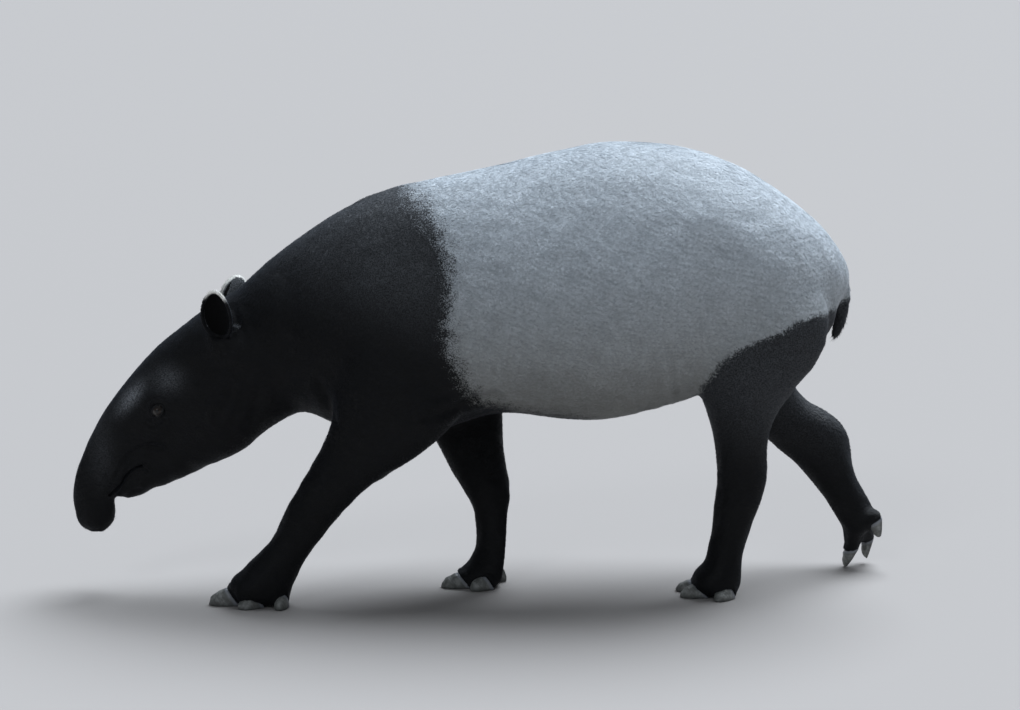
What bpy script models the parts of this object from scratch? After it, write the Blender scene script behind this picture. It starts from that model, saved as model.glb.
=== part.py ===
"""A malayan tapir, life size, walking with its head low. Metres, +Z up, head towards -X, left side towards -Y.

The whole body is first modelled as one soft form: lofts through rings and rounded muscles, fused by a voxel
remesh and relaxed. That form is then parted with thin cuts into head, neck, torso and legs. Ears, tail, eyes and
hooves are solids of their own, set into the form with the same small gap.
"""

import math

import bmesh
import bpy
import numpy as np
from mathutils import Matrix, Vector

# Driving sizes
GAP = 0.0003  # between nodes that meet face to face
SEAT_GAP = 0.0005  # round the hooves, whose walls meet the flesh at sharp corners
FORM_VOXEL = 0.0040  # grain of the fused form before it is reduced
RELAX_TURNS = 60  # turns of smoothing where legs run into the trunk
HEAD_TRIANGLES = 4900
BODY_TRIANGLES = 5500
EAR_TRIANGLES = 340
PAD_HEIGHT = 0.003  # the pads of the feet end this far above the floor, which the hooves stand on
CREASE_ANGLE = math.radians(42)  # edges sharper than this are shown as edges

# Rings of the trunk from inside the head to the rump: top x and z, low x and z, half width, egg (over 0: fuller low)
TRUNK_RINGS = (
    (-0.700, 0.690, -0.575, 0.470, 0.080, 0.00),
    (-0.648, 0.752, -0.500, 0.452, 0.112, 0.06),
    (-0.598, 0.800, -0.462, 0.440, 0.132, 0.10),
    (-0.549, 0.841, -0.432, 0.427, 0.150, 0.14),
    (-0.451, 0.909, -0.372, 0.404, 0.180, 0.18),
    (-0.353, 0.963, -0.290, 0.390, 0.206, 0.20),
    (-0.256, 0.996, -0.200, 0.394, 0.226, 0.20),
    (-0.158, 1.016, -0.110, 0.424, 0.242, 0.16),
    (-0.030, 1.042, -0.010, 0.445, 0.264, 0.12),
    (0.120, 1.077, 0.129, 0.428, 0.284, 0.10),
    (0.236, 1.097, 0.236, 0.427, 0.288, 0.08),
    (0.376, 1.090, 0.390, 0.462, 0.274, 0.04),
    (0.480, 1.065, 0.500, 0.504, 0.252, 0.00),
    (0.580, 1.021, 0.590, 0.550, 0.230, -0.02),
    (0.684, 0.950, 0.676, 0.596, 0.196, 0.00),
    (0.762, 0.880, 0.736, 0.645, 0.150, 0.00),
    (0.810, 0.810, 0.788, 0.700, 0.086, 0.00),
    (0.826, 0.764, 0.816, 0.735, 0.020, 0.00),
)

# Rings of the skull and its drooping proboscis, from the tip: front x and z, under x and z, half width, egg
SKULL_RINGS = (
    (-1.012, 0.156, -0.986, 0.157, 0.014, 0.00),
    (-1.043, 0.180, -0.961, 0.178, 0.035, 0.00),
    (-1.055, 0.219, -0.955, 0.208, 0.041, 0.00),
    (-1.055, 0.268, -0.957, 0.252, 0.041, 0.04),
    (-1.042, 0.323, -0.940, 0.288, 0.043, 0.08),
    (-1.016, 0.384, -0.905, 0.322, 0.049, 0.12),
    (-0.974, 0.460, -0.850, 0.354, 0.062, 0.16),
    (-0.908, 0.546, -0.770, 0.390, 0.079, 0.14),
    (-0.845, 0.614, -0.690, 0.424, 0.092, 0.10),
    (-0.788, 0.660, -0.630, 0.450, 0.102, 0.06),
    (-0.735, 0.700, -0.575, 0.460, 0.110, 0.04),
    (-0.684, 0.730, -0.525, 0.464, 0.114, 0.04),
    (-0.640, 0.756, -0.480, 0.474, 0.100, 0.04),
)

# Rings of the lower jaw from the lower lip to the throat
JAW_RINGS = (
    (-0.954, 0.272, -0.956, 0.246, 0.014, 0.00),
    (-0.938, 0.308, -0.930, 0.240, 0.032, -0.05),
    (-0.908, 0.350, -0.893, 0.244, 0.042, -0.06),
    (-0.882, 0.388, -0.864, 0.260, 0.047, -0.04),
    (-0.856, 0.428, -0.824, 0.273, 0.052, 0.00),
    (-0.822, 0.482, -0.755, 0.305, 0.066, 0.00),
    (-0.790, 0.530, -0.695, 0.331, 0.081, 0.00),
    (-0.755, 0.575, -0.640, 0.357, 0.094, 0.00),
    (-0.710, 0.610, -0.592, 0.400, 0.102, 0.00),
    (-0.665, 0.630, -0.545, 0.431, 0.102, 0.00),
    (-0.615, 0.640, -0.505, 0.450, 0.085, 0.00),
)

# Rings of each leg from inside the trunk to the foot: front x and z, rear x and z, middle y, half width
LEG_RINGS = {
    "foreleg_left": (
        (-0.385, 0.680, -0.150, 0.620, -0.160, 0.050),
        (-0.418, 0.560, -0.125, 0.480, -0.163, 0.074),
        (-0.432, 0.465, -0.200, 0.392, -0.156, 0.080),
        (-0.458, 0.392, -0.277, 0.338, -0.147, 0.070),
        (-0.496, 0.324, -0.357, 0.282, -0.137, 0.059),
        (-0.540, 0.246, -0.422, 0.214, -0.127, 0.052),
        (-0.569, 0.178, -0.467, 0.154, -0.121, 0.047),
        (-0.600, 0.138, -0.492, 0.120, -0.118, 0.047),
        (-0.646, 0.092, -0.512, 0.084, -0.115, 0.053),
        (-0.680, 0.060, -0.528, 0.050, -0.113, 0.058),
        (-0.680, 0.032, -0.538, 0.024, -0.113, 0.055),
        (-0.655, 0.008, -0.562, 0.008, -0.113, 0.036),
    ),
    "foreleg_right": (
        (-0.340, 0.660, -0.070, 0.640, 0.160, 0.050),
        (-0.280, 0.530, -0.022, 0.520, 0.155, 0.074),
        (-0.218, 0.420, -0.008, 0.430, 0.130, 0.076),
        (-0.172, 0.340, -0.008, 0.350, 0.104, 0.067),
        (-0.128, 0.258, 0.004, 0.264, 0.082, 0.056),
        (-0.091, 0.200, 0.017, 0.202, 0.068, 0.049),
        (-0.080, 0.148, 0.018, 0.148, 0.058, 0.046),
        (-0.082, 0.098, 0.022, 0.096, 0.050, 0.047),
        (-0.097, 0.062, 0.022, 0.056, 0.045, 0.054),
        (-0.127, 0.034, 0.016, 0.028, 0.044, 0.056),
        (-0.110, 0.008, -0.014, 0.008, 0.044, 0.036),
    ),
    "hindleg_left": (
        (0.405, 0.760, 0.700, 0.810, -0.140, 0.080),
        (0.418, 0.640, 0.745, 0.690, -0.148, 0.096),
        (0.437, 0.540, 0.725, 0.595, -0.150, 0.096),
        (0.455, 0.475, 0.672, 0.523, -0.142, 0.086),
        (0.474, 0.418, 0.626, 0.446, -0.132, 0.072),
        (0.486, 0.352, 0.611, 0.368, -0.124, 0.060),
        (0.491, 0.286, 0.613, 0.292, -0.118, 0.054),
        (0.487, 0.226, 0.603, 0.240, -0.112, 0.051),
        (0.482, 0.170, 0.583, 0.186, -0.108, 0.046),
        (0.474, 0.120, 0.565, 0.132, -0.105, 0.044),
        (0.464, 0.084, 0.557, 0.086, -0.103, 0.048),
        (0.438, 0.052, 0.555, 0.046, -0.102, 0.056),
        (0.436, 0.028, 0.552, 0.022, -0.102, 0.054),
        (0.460, 0.008, 0.530, 0.008, -0.102, 0.036),
    ),
    "hindleg_right": (
        (0.425, 0.740, 0.700, 0.790, 0.140, 0.080),
        (0.462, 0.615, 0.735, 0.660, 0.148, 0.096),
        (0.510, 0.510, 0.720, 0.560, 0.150, 0.091),
        (0.575, 0.425, 0.720, 0.482, 0.150, 0.078),
        (0.640, 0.350, 0.758, 0.432, 0.151, 0.067),
        (0.686, 0.308, 0.808, 0.406, 0.153, 0.059),
        (0.730, 0.268, 0.857, 0.362, 0.155, 0.054),
        (0.768, 0.228, 0.871, 0.304, 0.156, 0.050),
        (0.804, 0.182, 0.883, 0.244, 0.156, 0.046),
        (0.832, 0.138, 0.908, 0.196, 0.156, 0.045),
        (0.851, 0.108, 0.924, 0.162, 0.155, 0.049),
        (0.859, 0.086, 0.930, 0.132, 0.154, 0.048),
        (0.868, 0.070, 0.920, 0.102, 0.154, 0.034),
    ),
}

# Rounded masses fused into the form: middle x, y, z, half lengths along, across and up, nose-down tilt in degrees
PAIRED_MASSES = {
    "mouth_corner": (-0.885, 0.026, 0.345, 0.060, 0.024, 0.030, 45),
    "lip_front": (-0.937, 0.016, 0.290, 0.030, 0.019, 0.022, 50),
    "ear_root": (-0.682, 0.087, 0.630, 0.030, 0.032, 0.040, 15),
    "ham": (0.705, 0.080, 0.710, 0.070, 0.072, 0.095, 15),
}
SINGLE_MASSES = {
    "breast": (-0.405, 0.0, 0.500, 0.070, 0.090, 0.085, 0),
}

# Soft swells of the surface in the side view: x, z, half lengths along and up, height, nose-down tilt, sides
SWELLS = {
    "shoulder_near": (-0.335, 0.660, 0.110, 0.230, 0.020, 18, (-1,)),
    "shoulder_far": (-0.290, 0.670, 0.110, 0.230, 0.020, 8, (1,)),
    "shoulder_hollow": (-0.120, 0.600, 0.070, 0.180, -0.008, 10, (-1, 1)),
    "haunch": (0.600, 0.780, 0.170, 0.170, 0.022, -20, (-1, 1)),
    "hip": (0.450, 0.930, 0.090, 0.060, 0.008, -15, (-1, 1)),
    "flank_hollow": (0.395, 0.690, 0.060, 0.130, -0.010, -15, (-1, 1)),
    "stifle": (0.500, 0.560, 0.060, 0.090, 0.014, -10, (-1,)),
    "cheek": (-0.705, 0.460, 0.075, 0.050, 0.010, 38, (-1, 1)),
    "temple_hollow": (-0.775, 0.560, 0.050, 0.035, -0.006, 38, (-1, 1)),
    "brow": (-0.846, 0.494, 0.036, 0.017, 0.007, 45, (-1, 1)),
    "under_eye": (-0.852, 0.436, 0.034, 0.014, -0.004, 50, (-1, 1)),
    "lip": (-0.924, 0.325, 0.034, 0.013, 0.006, 40, (-1, 1)),
    "lip_fold": (-0.868, 0.352, 0.016, 0.024, 0.006, 0, (-1, 1)),
}

# Grooves pressed into the form: points in x and z, half width, depth, least distance from the middle plane
MOUTH_LINE = ((-0.962, 0.262), (-0.950, 0.272), (-0.936, 0.286), (-0.924, 0.303), (-0.910, 0.319), (-0.886, 0.331))
SNOUT_CREASE = ((-0.965, 0.300), (-0.942, 0.338), (-0.918, 0.372), (-0.890, 0.392))
GROOVES = (
    (MOUTH_LINE, 0.0040, 0.0065, 0.0),
    (SNOUT_CREASE, 0.0080, 0.0030, 0.014),
)

# Eyes
EYE_CENTRE = (-0.832, 0.0735, 0.469)  # the left one has y below 0
EYE_RADIUS = 0.0165
LID_RADIUS = 0.0155  # middle of the ring of the lids
LID_WIDTH = 0.0045
LID_HEIGHT = 0.0042
EYE_SLANT = math.radians(52)  # from the tear corner up to the outer corner, seen from the side

# Nostrils, at the end of the proboscis
NOSTRIL_PLACE = (-1.000, 0.0155, 0.159)
NOSTRIL_RADIUS = 0.0095
NOSTRIL_DEPTH = 0.012

# Ears: an oval cup on a short neck
EAR_ROOT = (-0.684, 0.104, 0.638)
EAR_HEIGHT = 0.132
EAR_WIDTH = 0.086
EAR_DEPTH = 0.036
EAR_WALL = 0.006
EAR_LEAN = {-1: 0, 1: 11}  # degrees each ear is laid back

# The head is turned away from the left side, by a bend of the neck
TURN_ANGLE = math.radians(7)
TURN_START = -0.44  # x where the bend begins
TURN_RUN = 0.24
TURN_REACH = 1.016  # the turned head is held this much further out
TURN_DROP = 0.17  # and lower, as a share of its way to the side

# Tail: middle line points x, z and radius from the root to the tip
TAIL_RINGS = (
    (0.780, 0.768, 0.030),
    (0.808, 0.735, 0.025),
    (0.810, 0.690, 0.020),
    (0.803, 0.650, 0.017),
    (0.793, 0.622, 0.013),
    (0.786, 0.609, 0.006),
)

# Hooves of each foot: tip x, y, z, heading and pitch in degrees, length, width, height
HOOVES = {
    "foreleg_left": (
        ("middle", -0.732, -0.105, 0.0, 3, 0, 0.076, 0.056, 0.050),
        ("outer", -0.660, -0.160, 0.0, 32, 0, 0.064, 0.048, 0.042),
        ("inner", -0.672, -0.034, 0.0, -22, 0, 0.062, 0.044, 0.040),
        ("small", -0.566, -0.178, 0.0, 72, 0, 0.044, 0.036, 0.040),
    ),
    "foreleg_right": (
        ("middle", -0.169, 0.022, 0.0, 5, 0, 0.074, 0.054, 0.044),
        ("inner", -0.099, -0.022, 0.0, 30, 0, 0.060, 0.045, 0.042),
        ("outer", -0.110, 0.086, 0.0, -26, 0, 0.062, 0.046, 0.038),
        ("small", -0.033, 0.102, 0.0, -68, 0, 0.044, 0.034, 0.036),
    ),
    "hindleg_left": (
        ("middle", 0.404, -0.114, 0.0, 5, 0, 0.070, 0.052, 0.040),
        ("outer", 0.486, -0.168, 0.0, 50, 0, 0.060, 0.046, 0.040),
        ("inner", 0.402, -0.048, 0.0, -14, 0, 0.062, 0.044, 0.036),
    ),
    "hindleg_right": (
        ("middle", 0.863, 0.156, -0.001, 0, 60, 0.064, 0.050, 0.031),
        ("outer", 0.925, 0.188, 0.012, -12, 74, 0.060, 0.044, 0.032),
        ("inner", 0.944, 0.122, 0.084, 8, 92, 0.058, 0.042, 0.034),
    ),
}
# Where the toes of each foot spring from
TOE_ROOTS = {
    "foreleg_left": (-0.590, -0.114, 0.075),
    "foreleg_right": (-0.048, 0.042, 0.065),
    "hindleg_left": (0.500, -0.102, 0.065),
    "hindleg_right": (0.888, 0.154, 0.126),
}
TOE_ROOT_SIZE = 0.036

# Planes that bound each space the form is parted by, as (kind, x, z, rise or lean, spread):
# "under" and "over" keep what lies below or above z + rise along x + spread outwards,
# "ahead" and "behind" keep what lies towards the head or the tail of a plane that leans by dx for each dz
BREAST_LINE = (-0.46, 0.398, 0.84, 0.0)
HEAD_SPACE = (("ahead", -0.612, 0.600, -0.649, 0.0), ("over", *BREAST_LINE))
NECK_SPACE = (("ahead", -0.420, 0.600, -0.212, 0.0),)
LEG_SPACES = {
    "foreleg_left": (
        ("under", *BREAST_LINE),
        ("under", -0.30, 0.395, 0.0, 0.80),
        ("ahead", -0.095, 0.430, 0.10, 0.0),
    ),
    "foreleg_right": (
        ("under", -0.10, 0.395, 0.0, 0.80),
        ("behind", -0.262, 0.390, 0.0, 0.0),
        ("ahead", 0.022, 0.430, 0.10, 0.0),
    ),
    "hindleg_left": (
        ("under", 0.44, 0.470, 0.38, 0.80),
        ("behind", 0.432, 0.440, 0.45, 0.0),
    ),
    "hindleg_right": (
        ("under", 0.44, 0.470, 0.30, 0.80),
        ("behind", 0.450, 0.440, 0.45, 0.0),
    ),
}
PAST_MIDDLE = {"foreleg_right": 0.09}  # how far a leg's space crosses the middle plane, for a foot set under the body

COLOURS = {
    "black_coat": ((0.018, 0.019, 0.022), 0.62),
    "pale_coat": ((0.55, 0.57, 0.58), 0.75),
    "horn": ((0.24, 0.24, 0.22), 0.45),
    "eye": ((0.015, 0.010, 0.008), 0.08),
}


# Meshes from code


def clear_scene():
    for obj in list(bpy.data.objects):
        bpy.data.objects.remove(obj)


def mesh_object(name, points, faces):
    mesh = bpy.data.meshes.new(name)
    mesh.from_pydata([tuple(p) for p in points], [], faces)
    mesh.validate()
    obj = bpy.data.objects.new(name, mesh)
    bpy.context.scene.collection.objects.link(obj)
    return obj


def spline(rows, steps):
    """Points on a smooth curve through rows, steps to each stretch between two of them."""
    rows = np.asarray(rows, float)
    ends = np.vstack([2 * rows[0] - rows[1], rows, 2 * rows[-1] - rows[-2]])
    found = []
    for i in range(1, len(ends) - 2):
        before, start, stop, after = ends[i - 1 : i + 3]
        for t in np.arange(steps) / steps:
            found.append(
                0.5
                * (
                    2 * start
                    + (stop - before) * t
                    + (2 * before - 5 * start + 4 * stop - after) * t**2
                    + (3 * start - before - 3 * stop + after) * t**3
                )
            )
    return np.array(found + [rows[-1]])


def skin_rings(rings):
    """Points and faces of a closed tube through equal rings of points, its ends closed by fans."""
    count = len(rings[0])
    points = [p for ring in rings for p in ring]
    faces = []
    for i in range(len(rings) - 1):
        for j in range(count):
            k = (j + 1) % count
            faces.append((i * count + j, i * count + k, (i + 1) * count + k, (i + 1) * count + j))
    for ring, start, flip in ((rings[0], 0, True), (rings[-1], (len(rings) - 1) * count, False)):
        points.append(np.mean(ring, axis=0))
        middle = len(points) - 1
        for j in range(count):
            k = (j + 1) % count
            faces.append((start + k, start + j, middle) if flip else (start + j, start + k, middle))
    return points, faces


def face_outwards(obj):
    mesh = bmesh.new()
    mesh.from_mesh(obj.data)
    bmesh.ops.recalc_face_normals(mesh, faces=mesh.faces)
    mesh.to_mesh(obj.data)
    mesh.free()
    return obj


def loft(name, rows, sides=36, steps=6, squareness=0.94):
    """A closed form through rings that each run from a top point to a low point and have a half width."""
    rings = []
    for top_x, top_z, low_x, low_z, middle_y, half_width, egg in spline(rows, steps):
        middle = np.array([(top_x + low_x) / 2, middle_y, (top_z + low_z) / 2])
        up = np.array([(top_x - low_x) / 2, 0, (top_z - low_z) / 2])
        ring = []
        for angle in np.linspace(0, 2 * math.pi, sides, endpoint=False):
            rise, reach = math.sin(angle), math.cos(angle)
            rise = math.copysign(abs(rise) ** squareness, rise)
            reach = math.copysign(abs(reach) ** squareness, reach) * (1 - egg * rise)
            ring.append(middle + up * rise + np.array([0, half_width * reach, 0]))
        rings.append(ring)
    return face_outwards(mesh_object(name, *skin_rings(rings)))


def middle_loft(name, rows):
    """A loft on the middle plane."""
    return loft(name, [(*row[:4], 0.0, *row[4:]) for row in rows])


def ellipsoid(name, middle, halves, tilt):
    """A rounded muscle. A tilt over 0 lowers its end towards the head."""
    mesh = bmesh.new()
    bmesh.ops.create_uvsphere(mesh, u_segments=28, v_segments=18, radius=1.0)
    place = Matrix.Translation(middle) @ Matrix.Rotation(-math.radians(tilt), 4, "Y") @ Matrix.Diagonal((*halves, 1))
    bmesh.ops.transform(mesh, matrix=place, verts=mesh.verts)
    data = bpy.data.meshes.new(name)
    mesh.to_mesh(data)
    mesh.free()
    obj = bpy.data.objects.new(name, data)
    bpy.context.scene.collection.objects.link(obj)
    return obj


# Blender's modifiers, applied


def apply_modifiers(obj):
    graph = bpy.context.evaluated_depsgraph_get()
    graph.update()
    data = bpy.data.meshes.new_from_object(obj.evaluated_get(graph))
    obj.modifiers.clear()
    obj.data = data
    return obj


def joined(name, objects):
    """One object that holds the meshes of all, which are removed."""
    mesh = bmesh.new()
    for obj in objects:
        mesh.from_mesh(obj.data)
        bpy.data.objects.remove(obj)
    data = bpy.data.meshes.new(name)
    mesh.to_mesh(data)
    mesh.free()
    made = bpy.data.objects.new(name, data)
    bpy.context.scene.collection.objects.link(made)
    return made


def copy_of(obj, name):
    made = bpy.data.objects.new(name, obj.data.copy())
    bpy.context.scene.collection.objects.link(made)
    return made


def boolean(obj, cutter, operation):
    """Cuts or keeps what a cutter covers. The cutter is removed."""
    cut = obj.modifiers.new("Cut", "BOOLEAN")
    cut.operation = operation
    cut.solver = "EXACT"
    cut.object = cutter
    apply_modifiers(obj)
    bpy.data.objects.remove(cutter)
    return largest_body(obj)


def largest_body(obj):
    """Keeps the largest closed surface of a mesh."""
    mesh = bmesh.new()
    mesh.from_mesh(obj.data)
    left, bodies = set(mesh.verts), []
    while left:
        seed = left.pop()
        body, edge = {seed}, [seed]
        while edge:
            for link in edge.pop().link_edges:
                for vert in link.verts:
                    if vert in left:
                        left.discard(vert)
                        body.add(vert)
                        edge.append(vert)
        bodies.append(body)
    bodies.sort(key=len, reverse=True)
    scraps = [v for body in bodies[1:] for v in body]
    if scraps:
        bmesh.ops.delete(mesh, geom=scraps, context="VERTS")
    mesh.to_mesh(obj.data)
    mesh.free()
    return obj


def reduced(obj, triangles):
    """The same form with about this many triangles."""
    mesh = bmesh.new()
    mesh.from_mesh(obj.data)
    bmesh.ops.triangulate(mesh, faces=mesh.faces)
    mesh.to_mesh(obj.data)
    mesh.free()
    decimate = obj.modifiers.new("Reduce", "DECIMATE")
    decimate.ratio = min(1.0, triangles / len(obj.data.polygons))
    decimate.use_collapse_triangulate = True
    return apply_modifiers(obj)


def grown(obj, name, by=GAP):
    """A copy whose faces all stand out by a small distance, to cut a seat for obj."""
    made = copy_of(obj, name)
    mesh = bmesh.new()
    mesh.from_mesh(made.data)
    mesh.normal_update()
    moves = [vert.normal * (by * min(vert.calc_shell_factor(), 3.0)) for vert in mesh.verts]
    for vert, move in zip(mesh.verts, moves):
        vert.co += move
    mesh.to_mesh(made.data)
    mesh.free()
    return made


# The body's form


def softness_at(x, y, z):
    """How far the smoothing turns act at a place: fully on the trunk, least on the snout and feet."""
    face = np.clip((x + 0.90) / 0.35, 0, 1)
    leg = np.clip((z - 0.20) / 0.18, 0, 1)
    return 0.20 + 0.80 * np.minimum(face, leg)


def relax(obj, turns):
    """Smooths the form by how soft each place is."""
    group = obj.vertex_groups.new(name="soft")
    places = np.empty(len(obj.data.vertices) * 3)
    obj.data.vertices.foreach_get("co", places)
    places = places.reshape(-1, 3)
    levels = np.round(softness_at(*places.T) * 20).astype(int)
    for level in range(1, 21):
        chosen = np.nonzero(levels == level)[0]
        if len(chosen):
            group.add(chosen.tolist(), level / 20, "REPLACE")
    smooth = obj.modifiers.new("Relax", "SMOOTH")
    smooth.factor = 0.5
    smooth.iterations = turns
    smooth.vertex_group = group.name
    return apply_modifiers(obj)


def distance_to_line(x, z, line):
    """Distance in the side view from each place to a line of points."""
    line = spline(line, 6)
    best = np.full(len(x), np.inf)
    for (ax, az), (bx, bz) in zip(line[:-1], line[1:]):
        run = max((bx - ax) ** 2 + (bz - az) ** 2, 1e-12)
        t = np.clip(((x - ax) * (bx - ax) + (z - az) * (bz - az)) / run, 0, 1)
        best = np.minimum(best, np.hypot(x - ax - t * (bx - ax), z - az - t * (bz - az)))
    return best


def press(obj):
    """Swells, grooves, lids and nostrils: the surface is moved along its normals."""
    mesh = obj.data
    count = len(mesh.vertices)
    places = np.empty(count * 3)
    normals = np.empty(count * 3)
    mesh.vertices.foreach_get("co", places)
    mesh.vertices.foreach_get("normal", normals)
    places, normals = places.reshape(-1, 3), normals.reshape(-1, 3)
    x, y, z = places.T
    push = np.zeros(count)
    for at_x, at_z, along, up, height, tilt, sides in SWELLS.values():
        turn = math.radians(tilt)
        long_way = (x - at_x) * math.cos(turn) + (z - at_z) * math.sin(turn)
        short_way = (z - at_z) * math.cos(turn) - (x - at_x) * math.sin(turn)
        swell = height * np.exp(-((long_way / along) ** 2) - (short_way / up) ** 2)
        for side in sides:
            push += swell * np.clip(normals[:, 1] * side * 2.5, 0, 1)
    for line, half_width, depth, inner in GROOVES:
        fade = np.clip((np.abs(y) - inner) / 0.010, 0, 1) if inner else 1.0
        side = np.clip(np.abs(normals[:, 1]) * 4, 0, 1)
        push -= depth * np.exp(-((distance_to_line(x, z, line) / half_width) ** 2)) * fade * side
    along = np.array([math.cos(EYE_SLANT), math.sin(EYE_SLANT)])
    for side in (-1, 1):
        away_x, away_z = x - EYE_CENTRE[0], z - EYE_CENTRE[2]
        near = (np.hypot(away_x, away_z) < 0.04) & (y * side > 0)
        long_way = away_x * along[0] + away_z * along[1]
        short_way = -away_x * along[1] + away_z * along[0]
        reach = np.hypot(long_way * 0.80, short_way * 1.15)
        ring = np.exp(-(((reach - LID_RADIUS) / LID_WIDTH) ** 2))
        push += np.where(near, LID_HEIGHT * ring, 0.0)
        middle = np.array([NOSTRIL_PLACE[0], NOSTRIL_PLACE[1] * side, NOSTRIL_PLACE[2]])
        reach = np.linalg.norm(places - middle, axis=1)
        push -= NOSTRIL_DEPTH * np.exp(-((reach / NOSTRIL_RADIUS) ** 4))
    places += normals * push[:, None]
    mesh.vertices.foreach_set("co", places.ravel())
    mesh.update()
    return obj


def turn_head(obj):
    """Bends what lies ahead of the breast to the right side, as a smooth turn of the neck."""
    mesh = obj.data
    places = np.empty(len(mesh.vertices) * 3)
    mesh.vertices.foreach_get("co", places)
    places = places.reshape(-1, 3)
    x, y, z = places.T.copy()
    at_x, at_z, rise, _ = BREAST_LINE
    above = z > at_z + rise * (x - at_x)
    steps = np.linspace(0, 0.8, 401)
    share = np.clip(steps / TURN_RUN, 0, 1)
    angles = TURN_ANGLE * share * share * (3 - 2 * share)
    run = np.concatenate([[0], np.cumsum(np.cos(angles[1:])) * steps[1]])
    drift = np.concatenate([[0], np.cumsum(np.sin(angles[1:])) * steps[1]])
    ahead = np.clip(TURN_START - x, 0, None)
    angle = np.interp(ahead, steps, angles)
    sideways = np.interp(ahead, steps, drift)
    new_x = TURN_START - np.interp(ahead, steps, run) * TURN_REACH + y * np.sin(angle)
    new_y = sideways + y * np.cos(angle)
    new_z = z - sideways * TURN_DROP
    moved = above & (ahead > 0)
    places[moved] = np.column_stack([new_x, new_y, new_z])[moved]
    mesh.vertices.foreach_set("co", places.ravel())
    mesh.update()
    return obj


def toe_lobes(leg):
    """Flesh that runs from each hoof back into the foot, a little fuller than the hoof where they meet."""
    lobes = []
    root = Vector(TOE_ROOTS[leg])
    for name, tip_x, tip_y, tip_z, heading, pitch, length, width, height in HOOVES[leg]:
        forward, right, upward = hoof_axes(heading, pitch)
        turn = Matrix((forward, right, upward)).transposed().to_4x4()
        start = Vector((tip_x, tip_y, tip_z)) - forward * (length * 0.94) + upward * (height * 0.48)
        start_halves = Vector((length * 0.36, width * 0.57, height * 0.62))
        root_halves = Vector((TOE_ROOT_SIZE, TOE_ROOT_SIZE, TOE_ROOT_SIZE))
        for share in (0.0, 0.18, 0.36, 0.54, 0.75):
            halves = start_halves.lerp(root_halves, share)
            lobe = ellipsoid(f"{leg}_{name}_toe", (0, 0, 0), halves, 0)
            lobe.data.transform(Matrix.Translation(start.lerp(root, share)) @ turn)
            lobes.append(lobe)
    return lobes


def body_form():
    """The whole body as one soft closed form."""
    pieces = [middle_loft("trunk", TRUNK_RINGS), middle_loft("skull", SKULL_RINGS), middle_loft("jaw", JAW_RINGS)]
    for leg, rows in LEG_RINGS.items():
        pieces.append(loft(leg, [(*row, 0.0) for row in rows], sides=28))
        pieces.extend(toe_lobes(leg))
    for name, (x, y, z, *halves, tilt) in PAIRED_MASSES.items():
        for side in (-1, 1):
            pieces.append(ellipsoid(name, (x, y * side, z), halves, tilt))
    for name, (x, y, z, *halves, tilt) in SINGLE_MASSES.items():
        pieces.append(ellipsoid(name, (x, y, z), halves, tilt))
    form = joined("form", pieces)
    remesh = form.modifiers.new("Fuse", "REMESH")
    remesh.mode = "VOXEL"
    remesh.voxel_size = FORM_VOXEL
    apply_modifiers(form)
    relax(form, RELAX_TURNS)
    press(largest_body(form))
    mesh = bmesh.new()
    mesh.from_mesh(form.data)
    slice_with(mesh, ("over", 0.0, PAD_HEIGHT, 0.0, 0.0), 0, 0.0)
    mesh.to_mesh(form.data)
    mesh.free()
    return turn_head(form)


# Hooves, eyes, ears and tail


def hoof_axes(heading, pitch):
    """Directions of a hoof: towards its tip, to its right and out of its top. Heading 0 is towards -X, 90 towards -Y."""
    turn = math.radians(heading)
    dip = math.radians(pitch)
    level = Vector((-math.cos(turn), -math.sin(turn), 0))
    forward = level * math.cos(dip) + Vector((0, 0, -math.sin(dip)))
    upward = level * math.sin(dip) + Vector((0, 0, math.cos(dip)))
    return forward, forward.cross(upward), upward


def hoof(name, tip, heading, pitch, length, width, height):
    """A rounded horn shoe: flat sole, arched wall that slopes down to the tip."""
    forward, right, upward = hoof_axes(heading, pitch)
    back = Vector(tip) - forward * length
    rings = []
    for share in (0.0, 0.30, 0.58, 0.80, 0.93, 0.995):
        half = width / 2 * (1 - share**3.2) ** 0.5 * (0.90 + 0.10 * share)
        rise = height * (1 - 0.42 * share) * (1 - share**5) ** 0.5
        ring = []
        for angle in np.linspace(0, math.pi, 9):
            across = math.copysign(abs(math.cos(angle)) ** 0.8, math.cos(angle)) * half
            ring.append(back + forward * (length * share) + right * across + upward * (math.sin(angle) ** 0.85 * rise))
        ring.extend(back + forward * (length * share) + right * (half * part) for part in (-0.5, 0.0, 0.5))
        rings.append([np.array(p) for p in ring])
    return face_outwards(mesh_object(name, *skin_rings(rings)))


def level_tip(obj):
    """Cuts off what a steep hoof reaches below the floor, so that it stands on a small flat."""
    low = min(v.co.z for v in obj.data.vertices)
    if low < -1e-5:
        block = box("floor_block", (-2, -2, -1), (2, 2, 0))
        boolean(obj, block, "DIFFERENCE")
    return obj


def box(name, low, high):
    corners = [(x, y, z) for x in (low[0], high[0]) for y in (low[1], high[1]) for z in (low[2], high[2])]
    faces = [(0, 1, 3, 2), (4, 6, 7, 5), (0, 4, 5, 1), (2, 3, 7, 6), (0, 2, 6, 4), (1, 5, 7, 3)]
    return face_outwards(mesh_object(name, corners, faces))


def eye(side):
    mesh = bmesh.new()
    bmesh.ops.create_uvsphere(mesh, u_segments=14, v_segments=9, radius=EYE_RADIUS)
    name = "eye_left" if side < 0 else "eye_right"
    data = bpy.data.meshes.new(name)
    mesh.to_mesh(data)
    mesh.free()
    data.transform(Matrix.Translation((EYE_CENTRE[0], EYE_CENTRE[1] * side, EYE_CENTRE[2])))
    obj = bpy.data.objects.new(name, data)
    bpy.context.scene.collection.objects.link(obj)
    return obj


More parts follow.
